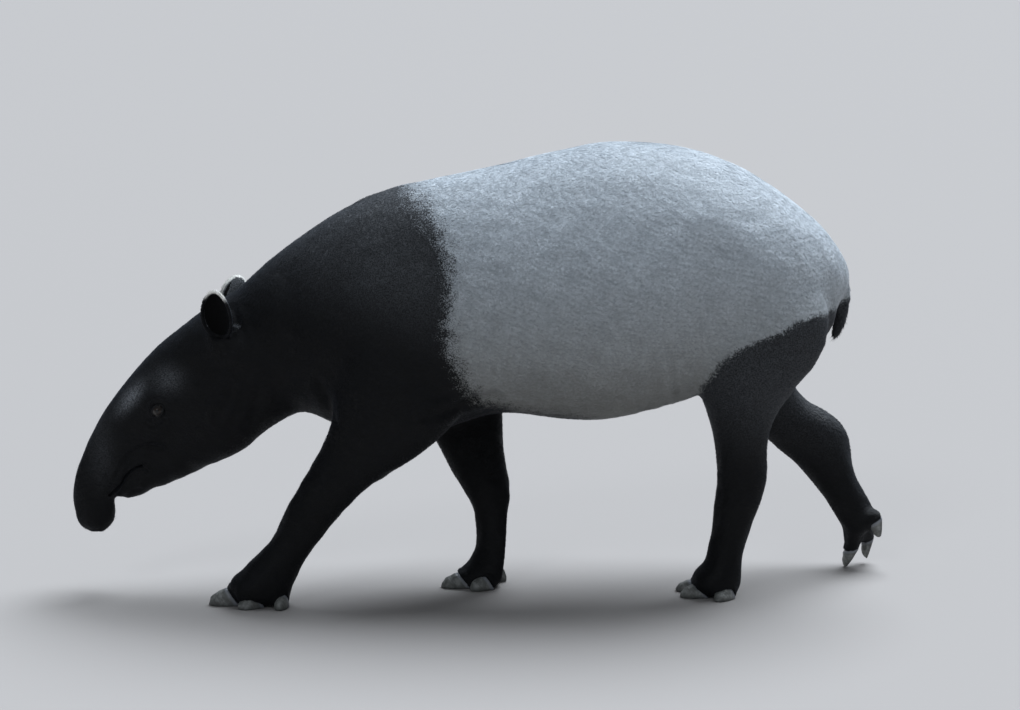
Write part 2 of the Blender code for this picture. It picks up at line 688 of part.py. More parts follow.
def ear(side):
    """An upright oval cup, open to the side and a little forward, on a short neck."""
    up = Matrix.Rotation(math.radians(EAR_LEAN[side]), 3, "Y") @ Vector((-0.10, side * 0.30, 1.0)).normalized()
    out = Vector((-0.42, side * 1.0, -0.12))
    out = (out - up * out.dot(up)).normalized()
    across = up.cross(out)
    root = Vector((EAR_ROOT[0], EAR_ROOT[1] * side, EAR_ROOT[2]))
    around, levels = 20, 12
    outer, inner = [], []
    for i in range(levels + 1):
        share = i / levels
        half = EAR_WIDTH / 2 * (0.22 + 0.78 * math.sin(math.pi * min(1.0, 0.10 + share * 0.68)) ** 0.9)
        half *= math.sqrt(max(0.0, 1 - max(0.0, (share - 0.55) / 0.47) ** 2.4))
        half = max(half, 0.006)
        outer.append((share, half))
    rings = []
    for share, half in outer:
        centre = root + up * (EAR_HEIGHT * share) - out * (EAR_DEPTH * 0.25)
        ring = []
        for angle in np.linspace(0, 2 * math.pi, around, endpoint=False):
            depth = math.sin(angle) * (EAR_DEPTH * 0.62 if math.sin(angle) < 0 else EAR_DEPTH * 0.20)
            shrink = min(1.0, half / (EAR_WIDTH * 0.30))
            ring.append(np.array(centre + across * (half * math.cos(angle)) + out * (depth * shrink)))
        rings.append(ring)
    shell = face_outwards(mesh_object("ear_left" if side < 0 else "ear_right", *skin_rings(rings)))
    cup_middle = root + up * (EAR_HEIGHT * 0.58) + out * (EAR_DEPTH * 0.20)
    cup = ellipsoid("cup", (0, 0, 0), (EAR_WIDTH / 2 - EAR_WALL, EAR_DEPTH * 0.84, EAR_HEIGHT * 0.43), 0)
    cup.data.transform(Matrix.Translation(cup_middle) @ Matrix((across, out, up)).transposed().to_4x4())
    boolean(shell, cup, "DIFFERENCE")
    remesh = shell.modifiers.new("Fuse", "REMESH")
    remesh.mode = "VOXEL"
    remesh.voxel_size = 0.0018
    smooth = shell.modifiers.new("Relax", "SMOOTH")
    smooth.iterations = 6
    apply_modifiers(shell)
    return reduced(largest_body(shell), EAR_TRIANGLES)


def tail():
    rows = spline(TAIL_RINGS, 2)
    rings = []
    for i, (x, z, radius) in enumerate(rows):
        before, after = rows[max(i - 1, 0)], rows[min(i + 1, len(rows) - 1)]
        along = np.array([after[0] - before[0], after[1] - before[1]])
        along /= np.linalg.norm(along)
        ring = []
        for angle in np.linspace(0, 2 * math.pi, 12, endpoint=False):
            lift = math.sin(angle) * radius
            ring.append(np.array([x - along[1] * lift, math.cos(angle) * radius * 1.1, z + along[0] * lift]))
        rings.append(ring)
    return face_outwards(mesh_object("tail", *skin_rings(rings)))


# Parting the form


def slice_with(mesh, plane, side, margin):
    """Keeps what lies inside one bounding plane of a space, moved out by the margin, and closes the cut."""
    kind, x, z, slope, spread = plane
    if kind in ("under", "over"):
        normal = Vector((-slope, -spread * side, 1.0))
    else:
        normal = Vector((1.0, 0.0, -slope))
    if kind in ("over", "behind"):
        normal = -normal
    normal.normalize()
    where = Vector((x, 0, z)) + normal * margin
    parts = mesh.verts[:] + mesh.edges[:] + mesh.faces[:]
    found = bmesh.ops.bisect_plane(mesh, geom=parts, plane_co=where, plane_no=normal, clear_outer=True)
    edges = [part for part in found["geom_cut"] if isinstance(part, bmesh.types.BMEdge)]
    bmesh.ops.holes_fill(mesh, edges=edges, sides=0)


def space(planes, side, margin, past=0.0):
    """A block bounded by planes. A side ends at the middle plane, or as far past it as given, and 0 takes both."""
    mesh = bmesh.new()
    bmesh.ops.create_cube(mesh, size=3.0)
    bmesh.ops.translate(mesh, verts=mesh.verts, vec=(0, 0, 0.5))
    for plane in planes:
        slice_with(mesh, plane, side, margin)
    if side:
        parts = mesh.verts[:] + mesh.edges[:] + mesh.faces[:]
        where = (0, side * (GAP / 2 - margin - past), 0)
        found = bmesh.ops.bisect_plane(mesh, geom=parts, plane_co=where, plane_no=(0, -side, 0), clear_outer=True)
        edges = [part for part in found["geom_cut"] if isinstance(part, bmesh.types.BMEdge)]
        bmesh.ops.holes_fill(mesh, edges=edges, sides=0)
    bmesh.ops.recalc_face_normals(mesh, faces=mesh.faces)
    data = bpy.data.meshes.new("space")
    mesh.to_mesh(data)
    mesh.free()
    block = bpy.data.objects.new("space", data)
    bpy.context.scene.collection.objects.link(block)
    return block


def ahead_of_neck(form, overlap):
    """A copy of the form from the nose to a little behind the head's cut, still as fine as the form."""
    made = copy_of(form, "head")
    mesh = bmesh.new()
    mesh.from_mesh(made.data)
    for plane in HEAD_SPACE:
        slice_with(mesh, plane, 0, overlap)
    mesh.to_mesh(made.data)
    mesh.free()
    return largest_body(made)


def part_form(form):
    """Head, neck, torso and legs, cut from the one form."""
    head = reduced(ahead_of_neck(form, 0.012), HEAD_TRIANGLES)
    boolean(head, space(HEAD_SPACE, 0, -GAP / 2), "INTERSECT")
    body = reduced(form, BODY_TRIANGLES)
    boolean(body, space(HEAD_SPACE, 0, GAP / 2), "DIFFERENCE")
    nodes = {"head": head}
    for leg, planes in LEG_SPACES.items():
        side = -1 if leg.endswith("left") else 1
        past = PAST_MIDDLE.get(leg, 0.0)
        nodes[leg] = boolean(copy_of(body, leg), space(planes, side, 0.0, past), "INTERSECT")
        boolean(body, space(planes, side, GAP, past), "DIFFERENCE")
    nodes["neck"] = boolean(copy_of(body, "neck"), space(NECK_SPACE, 0, 0.0), "INTERSECT")
    boolean(body, space(NECK_SPACE, 0, GAP), "DIFFERENCE")
    body.name = "torso"
    nodes["torso"] = body
    return nodes


def set_hooves(nodes):
    """Each hoof as its own solid, with a seat for it cut out of the leg."""
    for leg, rows in HOOVES.items():
        for name, x, y, z, heading, pitch, length, width, height in rows:
            node = f"hoof_{leg}_{name}"
            nodes[node] = level_tip(hoof(node, (x, y, z), heading, pitch, length, width, height))
            boolean(nodes[leg], grown(nodes[node], "seat", SEAT_GAP), "DIFFERENCE")


def set_eyes_and_ears(nodes):
    for side in (-1, 1):
        ball = turn_head(eye(side))
        nodes[ball.name] = ball
        cup = turn_head(ear(side))
        boolean(cup, grown(nodes["head"], "skin"), "DIFFERENCE")
        boolean(cup, grown(nodes["neck"], "skin"), "DIFFERENCE")
        nodes[cup.name] = cup
        boolean(nodes["head"], grown(ball, "seat"), "DIFFERENCE")


def finish_nodes(nodes):
    """Materials, shading and the shared origin under the middle of the body."""
    corners = np.array([v.co for obj in nodes.values() for v in obj.data.vertices])
    low, high = corners.min(axis=0), corners.max(axis=0)
    shift = Matrix.Translation((-(low[0] + high[0]) / 2, -(low[1] + high[1]) / 2, -low[2]))
    finishes = {}
    for name, ((red, green, blue), roughness) in COLOURS.items():
        material = bpy.data.materials.new(name)
        material.use_nodes = True
        shader = material.node_tree.nodes["Principled BSDF"]
        shader.inputs["Base Color"].default_value = (red, green, blue, 1)
        shader.inputs["Roughness"].default_value = roughness
        finishes[name] = material
    for name, obj in nodes.items():
        obj.name = name
        obj.data.transform(shift)
        obj.data.materials.clear()
        if name.startswith("hoof"):
            obj.data.materials.append(finishes["horn"])
        elif name.startswith("eye"):
            obj.data.materials.append(finishes["eye"])
        elif name == "torso":
            obj.data.materials.append(finishes["pale_coat"])
        else:
            obj.data.materials.append(finishes["black_coat"])
        obj.data.shade_smooth()
        obj.data.set_sharp_from_angle(angle=CREASE_ANGLE)
    print("origin shift", *[round(v, 5) for v in shift.to_translation()])


def main():
    clear_scene()
    nodes = part_form(body_form())
    set_hooves(nodes)
    set_eyes_and_ears(nodes)
    hanging = tail()
    boolean(hanging, grown(nodes["torso"], "skin"), "DIFFERENCE")
    nodes["tail"] = hanging
    finish_nodes(nodes)


main()
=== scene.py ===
import math

import bmesh
import bpy
import numpy as np
from mathutils import Matrix, Vector
from mathutils.bvhtree import BVHTree


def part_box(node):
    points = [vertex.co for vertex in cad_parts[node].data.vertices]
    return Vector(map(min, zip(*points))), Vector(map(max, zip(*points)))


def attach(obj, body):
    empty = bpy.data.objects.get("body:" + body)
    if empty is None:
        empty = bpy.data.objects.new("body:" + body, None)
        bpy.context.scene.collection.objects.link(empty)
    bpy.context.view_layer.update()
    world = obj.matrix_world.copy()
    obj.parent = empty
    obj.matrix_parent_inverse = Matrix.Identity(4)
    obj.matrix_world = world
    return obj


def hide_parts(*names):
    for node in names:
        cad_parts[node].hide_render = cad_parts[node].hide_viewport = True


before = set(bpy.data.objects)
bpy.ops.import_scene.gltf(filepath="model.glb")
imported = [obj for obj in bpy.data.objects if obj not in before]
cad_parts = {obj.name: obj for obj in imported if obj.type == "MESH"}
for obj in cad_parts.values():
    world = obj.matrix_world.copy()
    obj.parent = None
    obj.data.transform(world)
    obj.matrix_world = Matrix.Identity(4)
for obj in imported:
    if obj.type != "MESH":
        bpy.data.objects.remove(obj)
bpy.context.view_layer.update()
print("frame loaded")

fleshNodes = ["head", "neck", "torso", "tail", "ear_left", "ear_right"]
fleshNodes += ["foreleg_left", "foreleg_right", "hindleg_left", "hindleg_right"]
hoofNodes = sorted(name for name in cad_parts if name.startswith("hoof_"))
eyeSides = {"eye_left": -1, "eye_right": 1}
measuredHoofX = 0.4681  # tip of the left hind hoof where the folds, markings and charts below were measured
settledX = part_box("hoof_hindleg_left_middle")[0].x - measuredHoofX  # how far the frame lies from there


# Small mesh tools


def linked(name, data):
    obj = bpy.data.objects.new(name, data)
    bpy.context.scene.collection.objects.link(obj)
    return obj


def readPlaces(mesh):
    values = np.empty(len(mesh.vertices) * 3)
    mesh.vertices.foreach_get("co", values)
    return values.reshape(-1, 3)


def readNormals(mesh):
    values = np.empty(len(mesh.vertices) * 3)
    mesh.vertices.foreach_get("normal", values)
    return values.reshape(-1, 3)


def writePlaces(mesh, places):
    mesh.vertices.foreach_set("co", places.ravel())
    mesh.update()


def writeAttribute(mesh, name, values):
    layer = mesh.attributes.new(name, "FLOAT", "POINT")
    layer.data.foreach_set("value", np.asarray(values, np.float32))


def modifiersApplied(obj):
    graph = bpy.context.evaluated_depsgraph_get()
    graph.update()
    data = bpy.data.meshes.new_from_object(obj.evaluated_get(graph))
    obj.modifiers.clear()
    obj.data = data
    return obj


def smoothStep(low, high, value):
    t = np.clip((value - low) / (high - low), 0, 1)
    return t * t * (3 - 2 * t)


def hump(value, middle, width):
    # 1 at the middle, falling off softly to both sides
    return np.exp(-(((value - middle) / width) ** 2))


def pushed(places, normals, push):
    return places + normals * push[:, None]


def distanceToLine(a, b, line):
    # distance from each place to a line of points, in a plane
    best = np.full(len(a), np.inf)
    for (startA, startB), (stopA, stopB) in zip(line[:-1], line[1:]):
        run = (stopA - startA) ** 2 + (stopB - startB) ** 2
        t = np.clip(((a - startA) * (stopA - startA) + (b - startB) * (stopB - startB)) / run, 0, 1)
        away = np.hypot(a - startA - t * (stopA - startA), b - startB - t * (stopB - startB))
        best = np.minimum(best, away)
    return best


def rounded(line, steps=5):
    # the same line with soft corners
    line = np.asarray(line, float)
    ends = np.vstack([2 * line[0] - line[1], line, 2 * line[-1] - line[-2]])
    found = []
    for i in range(1, len(ends) - 2):
        before, start, stop, after = ends[i - 1 : i + 3]
        for t in np.arange(steps) / steps:
            bent = (2 * before - 5 * start + 4 * stop - after) * t**2
            bent += (3 * start - before - 3 * stop + after) * t**3
            found.append(0.5 * (2 * start + (stop - before) * t + bent))
    return np.array(found + [line[-1]])


def waves(places, size, seed, layers=6):
    # a soft random height between about -1 and 1, made of crossing waves
    random = np.random.default_rng(seed)
    total = np.zeros(len(places))
    for _ in range(layers):
        way = random.normal(size=3)
        way *= random.uniform(0.7, 1.5) * 2 * math.pi / (size * np.linalg.norm(way))
        total += np.sin(places @ way + random.uniform(0, 6.28))
    return total / math.sqrt(layers / 2)


# The turn of the head, undone, so that the face can be worked on as if it looked straight ahead

neckBend = {
    "startX": -0.376,
    "run": 0.24,
    "turnDegrees": 7.0,
    "reach": 1.016,
    "drop": 0.17,
    "breastX": -0.396,
    "breastZ": 0.398,
    "breastRise": 0.84,
    "headBackX": -0.50,  # head and ears lie ahead of this
}
bendSteps = np.linspace(0, 0.8, 401)
bendShare = np.clip(bendSteps / neckBend["run"], 0, 1)
bendAngles = math.radians(neckBend["turnDegrees"]) * bendShare * bendShare * (3 - 2 * bendShare)
bendRun = np.concatenate([[0], np.cumsum(np.cos(bendAngles[1:])) * bendSteps[1]])
bendDrift = np.concatenate([[0], np.cumsum(np.sin(bendAngles[1:])) * bendSteps[1]])


def measured(places):
    # places along the body as the folds and markings state them
    return places - (settledX, 0.0, 0.0)


def straightened(places):
    start, reach = neckBend["startX"], neckBend["reach"]
    places = measured(places)
    x, y, z = places.T
    ahead = np.clip((start - x) / reach, 0, None)
    across = y.copy()
    for _ in range(6):
        angle = np.interp(ahead, bendSteps, bendAngles)
        across = (y - np.interp(ahead, bendSteps, bendDrift)) / np.cos(angle)
        run = (start + across * np.sin(angle) - x) / reach
        ahead = np.interp(np.clip(run, 0, None), bendRun, bendSteps)
    lifted = z + np.interp(ahead, bendSteps, bendDrift) * neckBend["drop"]
    above = z > neckBend["breastZ"] + neckBend["breastRise"] * (x - neckBend["breastX"])
    turned = above & (x < start)
    found = places.copy()
    found[turned] = np.column_stack([start - ahead, across, lifted])[turned]
    return found


def bent(flat):
    # the turn of the head again, for what was made on the straight head
    start = neckBend["startX"]
    x, y, z = flat.T
    ahead = np.clip(start - x, 0, None)
    angle = np.interp(ahead, bendSteps, bendAngles)
    drift = np.interp(ahead, bendSteps, bendDrift)
    newX = start - np.interp(ahead, bendSteps, bendRun) * neckBend["reach"] + y * np.sin(angle)
    return np.column_stack([newX + settledX, drift + y * np.cos(angle), z - drift * neckBend["drop"]])


# Where the horn of each hoof shows

hoofLook = {
    "headings": {  # degrees from the way the animal faces towards its left, and how far the tip points down
        "foreleg_left_middle": (3, 0), "foreleg_left_outer": (32, 0), "foreleg_left_inner": (-22, 0),
        "foreleg_left_small": (72, 0), "foreleg_right_middle": (5, 0), "foreleg_right_inner": (30, 0),
        "foreleg_right_outer": (-26, 0), "foreleg_right_small": (-68, 0), "hindleg_left_middle": (5, 0),
        "hindleg_left_outer": (50, 0), "hindleg_left_inner": (-14, 0), "hindleg_right_middle": (0, 60),
        "hindleg_right_outer": (-12, 74), "hindleg_right_inner": (8, 92),
    },
    "hornStart": 0.05,  # where the horn begins at the sole, as a share of the length from the heel
    "freeStart": -0.6,  # the same for a hoof that is all horn
    "allHorn": ["hoof_foreleg_right_small"],  # stands free behind the foot, so that horn shows up to its heel
    "hornSlope": {"middle": 0.46, "outer": 0.34, "inner": 0.40, "small": 0.26},  # further forward at the top
    "tuck": 0.0036,  # how far the root of the horn lies under the skin
    "heelTuck": 0.0050,
    "grain": 0.0019,
    "softTurns": 9,
    "horn": (0.185, 0.190, 0.178),
    "hornDark": (0.080, 0.083, 0.080),
    "hornPale": (0.330, 0.335, 0.325),
    # a painted pale bluish highlight along the top of the horn
    "coronetHighlight": (0.34, 0.36, 0.42),
    "ringDepth": 0.00022,
    "ringLength": 0.0065,
    "dents": 0.0005,
    "grooves": 0.00025,
    "roughness": (0.36, 0.58),
}
sheathedHooves = [name for name in hoofNodes if name not in hoofLook["allHorn"]]


class HoofPlace:
    def __init__(self, name):
        heading, pitch = hoofLook["headings"][name[len("hoof_"):]]
        turn, dip = math.radians(heading), math.radians(pitch)
        level = np.array((-math.cos(turn), -math.sin(turn), 0.0))
        self.forward = level * math.cos(dip) + np.array((0.0, 0.0, -math.sin(dip)))
        self.upward = level * math.sin(dip) + np.array((0.0, 0.0, math.cos(dip)))
        self.right = np.cross(self.forward, self.upward)
        places = readPlaces(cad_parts[name].data)
        self.heel = (places @ self.forward).min()
        self.length = (places @ self.forward).max() - self.heel
        self.sole = (places @ self.upward).min()
        self.height = (places @ self.upward).max() - self.sole
        self.middle = (places @ self.right).mean()
        self.width = np.ptp(places @ self.right)
        self.slope = hoofLook["hornSlope"][name.split("_")[-1]]
        self.start = hoofLook["freeStart" if name in hoofLook["allHorn"] else "hornStart"]

    def shares(self, places):
        # heel to tip, sole to top, and side to side from -1 to 1
        along = (places @ self.forward - self.heel) / self.length
        rise = (places @ self.upward - self.sole) / self.height
        return along, rise, (places @ self.right - self.middle) / (self.width / 2)

    def hornReach(self, places):
        # metres ahead of the coronet, over 0 where horn shows
        along, rise, _ = self.shares(places)
        return (along - self.start - self.slope * rise) * self.length


# Skin: one closed surface over all the flesh

skinLook = {
    "grain": 0.0054,  # size of its faces on the trunk, half of that on face, ears and feet
    "swell": 0.0008,  # closes the thin cuts between the nodes
    "setIn": 0.0016,  # how far the fused skin is then drawn in, which makes room for the coat
    "softTurns": 26,
    "leastSoft": 0.14,  # how much face and feet are smoothed, where the trunk has 1
    "lipSoft": 0.55,
    "snoutTipSoft": 0.75,
    "snoutTipFill": 0.0036,  # gives back what this takes from the snout's tip
    "fineHeadX": -0.70,  # the face ahead of this has halved faces
    "fineFootZ": 0.075,  # and the feet below this
    "raisedFootX": 0.86,  # and the raised foot behind this and below raisedFootZ
    "raisedFootZ": 0.17,
    "eyeReach": 0.036,  # they are halved again this near to an eye, and once more within eyeRimReach
    "eyeRimReach": 0.025,
    "leastZ": 0.0002,
}


def fusedFlesh():
    whole = bmesh.new()
    fused = [node for node in fleshNodes if not node.startswith("ear_")]
    fused += sheathedHooves + list(eyeSides)
    for name in fused:
        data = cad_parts[name].data.copy()
        places = readPlaces(data) + readNormals(data) * skinLook["swell"]
        writePlaces(data, places)
        whole.from_mesh(data)
        bpy.data.meshes.remove(data)
    data = bpy.data.meshes.new("skin")
    whole.to_mesh(data)
    whole.free()
    obj = linked("skin", data)
    remesh = obj.modifiers.new("fuse", "REMESH")
    remesh.mode = "VOXEL"
    remesh.voxel_size = skinLook["grain"]
    return modifiersApplied(obj)


def edgePairs(mesh):
    edges = np.empty(len(mesh.edges) * 2, np.int64)
    mesh.edges.foreach_get("vertices", edges)
    return edges.reshape(-1, 2)


def largestPiece(obj):
    mesh = obj.data
    first, second = edgePairs(mesh).T
    label = np.arange(len(mesh.vertices))
    before = None
    while before is None or not np.array_equal(before, label):
        before = label.copy()
        low = np.minimum(label[first], label[second])
        np.minimum.at(label, first, low)
        np.minimum.at(label, second, low)
        label = label[label]
    names, sizes = np.unique(label, return_counts=True)
    if len(names) > 1:
        whole = bmesh.new()
        whole.from_mesh(mesh)
        whole.verts.ensure_lookup_table()
        scraps = [whole.verts[i] for i in np.nonzero(label != names[np.argmax(sizes)])[0]]
        bmesh.ops.delete(whole, geom=scraps, context="VERTS")
        whole.to_mesh(mesh)
        whole.free()
    return obj


def softened(places, edges, weight, turns):
    count = len(places)
    first, second = edges.T
    degree = np.bincount(first, minlength=count) + np.bincount(second, minlength=count)
    step = (0.5 * weight / np.maximum(degree, 1))[:, None]
    full = (0.5 * weight)[:, None]
    for _ in range(turns):
        total = np.empty_like(places)
        for axis in range(3):
            column = places[:, axis]
            total[:, axis] = np.bincount(first, column[second], count)
            total[:, axis] += np.bincount(second, column[first], count)
        places = places * (1 - full) + total * step
    return places


def refined(obj, chosen):
    # halves the faces whose corners are all chosen
    whole = bmesh.new()
    whole.from_mesh(obj.data)
    flags = chosen.tolist()
    picked = [edge for edge in whole.edges if flags[edge.verts[0].index] and flags[edge.verts[1].index]]
    bmesh.ops.subdivide_edges(whole, edges=picked, cuts=1, use_grid_fill=True)
    whole.to_mesh(obj.data)
    whole.free()
    obj.data.update()


def nodeTree(name):
    whole = bmesh.new()
    whole.from_mesh(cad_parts[name].data)
    tree = BVHTree.FromBMesh(whole)
    whole.free()
    return tree


def distanceOutside(tree, places, within):
    # distance to the node's surface, below 0 inside it
    found = np.full(len(places), within)
    for i, place in enumerate(places):
        hit, normal, _, distance = tree.find_nearest(Vector(place), within)
        if hit is not None:
            found[i] = distance if (Vector(place) - hit).dot(normal) > 0 else -distance
    return found


eyeLook = {
    "radius": 0.0165,
    "openLength": 0.0152,  # half of the opening, from the tear corner to the outer corner
    "openUp": 0.0112,
    "openDown": 0.0100,
    "slantDegrees": 50,
    "ballGap": 0.0002,  # between the ball and the lids
    "irisRadius": 0.0094,
    "pupilLength": 0.0042,
    "pupilHeight": 0.0032,
    "corneaRise": 0.0013,
    "iris": (0.006, 0.004, 0.003),
    "irisFibres": (0.020, 0.011, 0.007),
    "irisEdge": (0.005, 0.004, 0.004),
    "white": (0.014, 0.010, 0.008),
    "pupil": (0.001, 0.001, 0.001),
    "roughness": 0.30,
    "shine": 0.12,
    "wet": 0.6,
    "wetRoughness": 0.02,
}

lidLook = {
    "thickness": 0.0016,
    "inset": 0.0030,  # how far their inner edge dips below the eye
    "roll": 0.0020,  # the raised rim of the opening
    "crease": 0.0016,
    "brow": 0.0016,
    "lowerCrease": 0.0010,
    "tearAt": (-0.0150, -0.0010),  # along and across the slit
    "tearDip": 0.0016,
}


def eyeAxes(side):
    # outward, along the slit up to the outer corner, and across the slit upwards
    turn = Matrix.Rotation(-math.radians(neckBend["turnDegrees"]), 3, "Z")
    slant = math.radians(eyeLook["slantDegrees"])
    outward = Vector((-0.02, side, 0.03)).normalized()
    along = Vector((math.cos(slant), 0, math.sin(slant)))
    along = (along - outward * along.dot(outward)).normalized()
    across = outward.cross(along) * side
    if across.z < 0:
        across = -across
    return [np.array(turn @ way) for way in (outward, along, across)]


def eyeMiddle(name):
    low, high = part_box(name)
    return np.array(low + high) / 2


def slitReach(along, across):
    # 1 at the edge of the eye's opening
    height = np.where(across > 0, eyeLook["openUp"], eyeLook["openDown"])
    return (np.abs(along / eyeLook["openLength"]) ** 1.55 + np.abs(across / height) ** 1.9) ** (1 / 1.72)


def shapeLids(places):
    # draws the lids over each eye; returns 1 where the skin is bare lid
    shut = np.zeros(len(places))
    radius = eyeLook["radius"]
    for name, side in eyeSides.items():
        middle = eyeMiddle(name)
        outward, along, across = eyeAxes(side)
        away = places - middle
        distance = np.linalg.norm(away, axis=1)
        near = np.nonzero((distance < 0.050) & (away @ outward > -0.004))[0]
        away, distance = away[near], distance[near]
        ways = away / distance[:, None]
        a, b = ways @ along * radius, ways @ across * radius
        facing = ways @ outward
        reach = slitReach(a, b) + 2.5 * np.clip(1 - facing / 0.46, 0, 1)
        reach = np.where(facing > 0, reach, 4.0)
        upper = smoothStep(-0.003, 0.004, b)
        rim = radius + lidLook["thickness"] * smoothStep(0.985, 1.10, reach)
        rim -= lidLook["inset"] * (1 - smoothStep(0.90, 1.0, reach))
        rim += lidLook["roll"] * hump(reach, 1.32, 0.16) * (0.6 + 0.6 * upper)
        deep = np.clip((distance - radius - 0.0045) / 0.006, 0, 1)  # where the head stands well over the eye
        blend = smoothStep(1.25 - 0.20 * deep, 2.15 - 0.55 * deep, reach)
        target = rim * (1 - blend) + np.maximum(distance, radius + 0.0006) * blend
        target -= lidLook["crease"] * hump(reach, 1.62, 0.10) * (0.45 + 0.55 * upper)
        target += lidLook["brow"] * hump(reach, 1.95, 0.20) * upper
        target -= lidLook["lowerCrease"] * hump(reach, 2.02, 0.10) * (1 - upper)
        tear = hump(a, lidLook["tearAt"][0], 0.0040) * hump(b, lidLook["tearAt"][1], 0.0016)
        target -= lidLook["tearDip"] * tear * (reach > 1.0)
        places[near] = middle + ways * target[:, None]
        shut[near] = np.maximum(shut[near], 1 - smoothStep(1.10, 1.40, reach))
    return shut


# Lines of the face in the side view, x and z on the straight head. Each is followed by its half width,
# its depth, the lip beside it, and the least and most y that it crosses.
faceLines = {
    "mouth": (
        [
            (-0.900, 0.252), (-0.884, 0.266), (-0.868, 0.284), (-0.857, 0.303), (-0.835, 0.322),
            (-0.816, 0.329),
        ],
        0.0026, 0.0060, 0.0016, 0.000, 0.075,
    ),
    "mouthEnd": ([(-0.818, 0.329), (-0.808, 0.322), (-0.802, 0.312)], 0.0034, 0.0022, 0.0010, 0.020, 0.080),
    "upperFold": (
        [(-0.884, 0.296), (-0.862, 0.336), (-0.834, 0.366), (-0.803, 0.379), (-0.765, 0.372)],
        0.0052, 0.0030, 0.0012, 0.018, 0.090,
    ),
    "snoutFold": (
        [(-0.960, 0.330), (-0.925, 0.352), (-0.895, 0.350), (-0.880, 0.330)],
        0.0045, 0.0011, 0.0004, 0.012, 0.090,
    ),
    "snoutRingA": ([(-0.990, 0.232), (-0.950, 0.246), (-0.912, 0.250)], 0.0032, 0.0008, 0.0005, 0.004, 0.09),
    "snoutRingB": ([(-0.986, 0.268), (-0.946, 0.284), (-0.905, 0.282)], 0.0034, 0.0008, 0.0005, 0.006, 0.09),
    "snoutRingC": ([(-0.975, 0.300), (-0.940, 0.316), (-0.902, 0.308)], 0.0036, 0.0008, 0.0005, 0.008, 0.09),
    "underEye": (
        [(-0.800, 0.438), (-0.786, 0.428), (-0.768, 0.432), (-0.752, 0.446)],
        0.0032, 0.0014, 0.0008, 0.030, 0.120,
    ),
    "tearRun": ([(-0.786, 0.450), (-0.784, 0.436), (-0.780, 0.424)], 0.0024, 0.0010, 0.0003, 0.03, 0.12),
    "browFold": (
        [(-0.800, 0.482), (-0.782, 0.500), (-0.756, 0.504), (-0.736, 0.492)],
        0.0036, 0.0012, 0.0008, 0.030, 0.120,
    ),
    "chin": ([(-0.868, 0.246), (-0.846, 0.262), (-0.826, 0.268)], 0.0050, 0.0014, 0.0008, 0.0, 0.06),
    "behindEar": (
        [(-0.592, 0.712), (-0.580, 0.690), (-0.568, 0.668), (-0.560, 0.640)],
        0.0080, 0.0022, 0.0008, 0.030, 0.200,
    ),
    "throatA": ([(-0.625, 0.452), (-0.600, 0.490), (-0.588, 0.530)], 0.0100, 0.0030, 0.0012, 0.0, 0.20),
    "throatB": ([(-0.560, 0.425), (-0.540, 0.470), (-0.530, 0.520)], 0.0110, 0.0030, 0.0012, 0.0, 0.20),
}

# Folds of the body in the side view, x and z: half width, depth, swell beside it, sides
bodyFolds = {
    "neckHollow": (
        [(-0.475, 0.800), (-0.462, 0.740), (-0.468, 0.680), (-0.480, 0.620)],
        0.0260, 0.0050, 0.0, (-1, 1),
    ),
    "forelegFront": ([(-0.395, 0.540), (-0.378, 0.505), (-0.368, 0.460)], 0.0120, 0.0055, 0.0020, (-1,)),
    "elbow": (
        [(-0.150, 0.474), (-0.090, 0.490), (-0.024, 0.510), (0.010, 0.520)],
        0.0110, 0.0060, 0.0030, (-1,),
    ),
    "elbowFar": ([(-0.040, 0.470), (0.010, 0.490), (0.050, 0.520)], 0.0110, 0.0055, 0.0025, (1,)),
    "shoulderBack": ([(-0.130, 0.820), (-0.112, 0.720), (-0.120, 0.620)], 0.0300, 0.0030, 0.0, (-1, 1)),
    "flankA": ([(0.462, 0.505), (0.446, 0.550), (0.440, 0.600)], 0.0120, 0.0045, 0.0020, (-1, 1)),
    "flankB": ([(0.425, 0.480), (0.412, 0.520), (0.408, 0.560)], 0.0110, 0.0025, 0.0012, (-1, 1)),
    "bellyA": ([(0.330, 0.470), (0.322, 0.520), (0.318, 0.570)], 0.0150, 0.0022, 0.0010, (-1, 1)),
    "bellyB": ([(0.380, 0.470), (0.374, 0.510), (0.370, 0.550)], 0.0140, 0.0022, 0.0010, (-1, 1)),
    "buttock": ([(0.800, 0.600), (0.780, 0.560), (0.740, 0.520)], 0.0140, 0.0030, 0.0015, (-1, 1)),
}


def pressLine(x, z, line, halfWidth, depth, lip):
    away = distanceToLine(x, z, rounded(line))
    return lip * hump(away, 2.1 * halfWidth, 0.9 * halfWidth) - depth * hump(away, 0, halfWidth)


def shapeFace(places, normals):
    flat = straightened(places)
    head = np.nonzero(flat[:, 0] < neckBend["headBackX"])[0]
    x, y, z = flat[head].T
    y = np.abs(y)
    push = np.zeros(len(places))
    sideways = np.clip(np.abs(normals[head, 1]) * 3, 0, 1)
    for line, halfWidth, depth, lip, low, high in faceLines.values():
        inside = smoothStep(low - 0.006, low + 0.004, y) * (1 - smoothStep(high, high + 0.02, y))
        if low <= 0:
            inside = np.ones(len(y))
        push[head] += pressLine(x, z, line, halfWidth, depth, lip) * sideways * inside
    return pushed(places, normals, push)


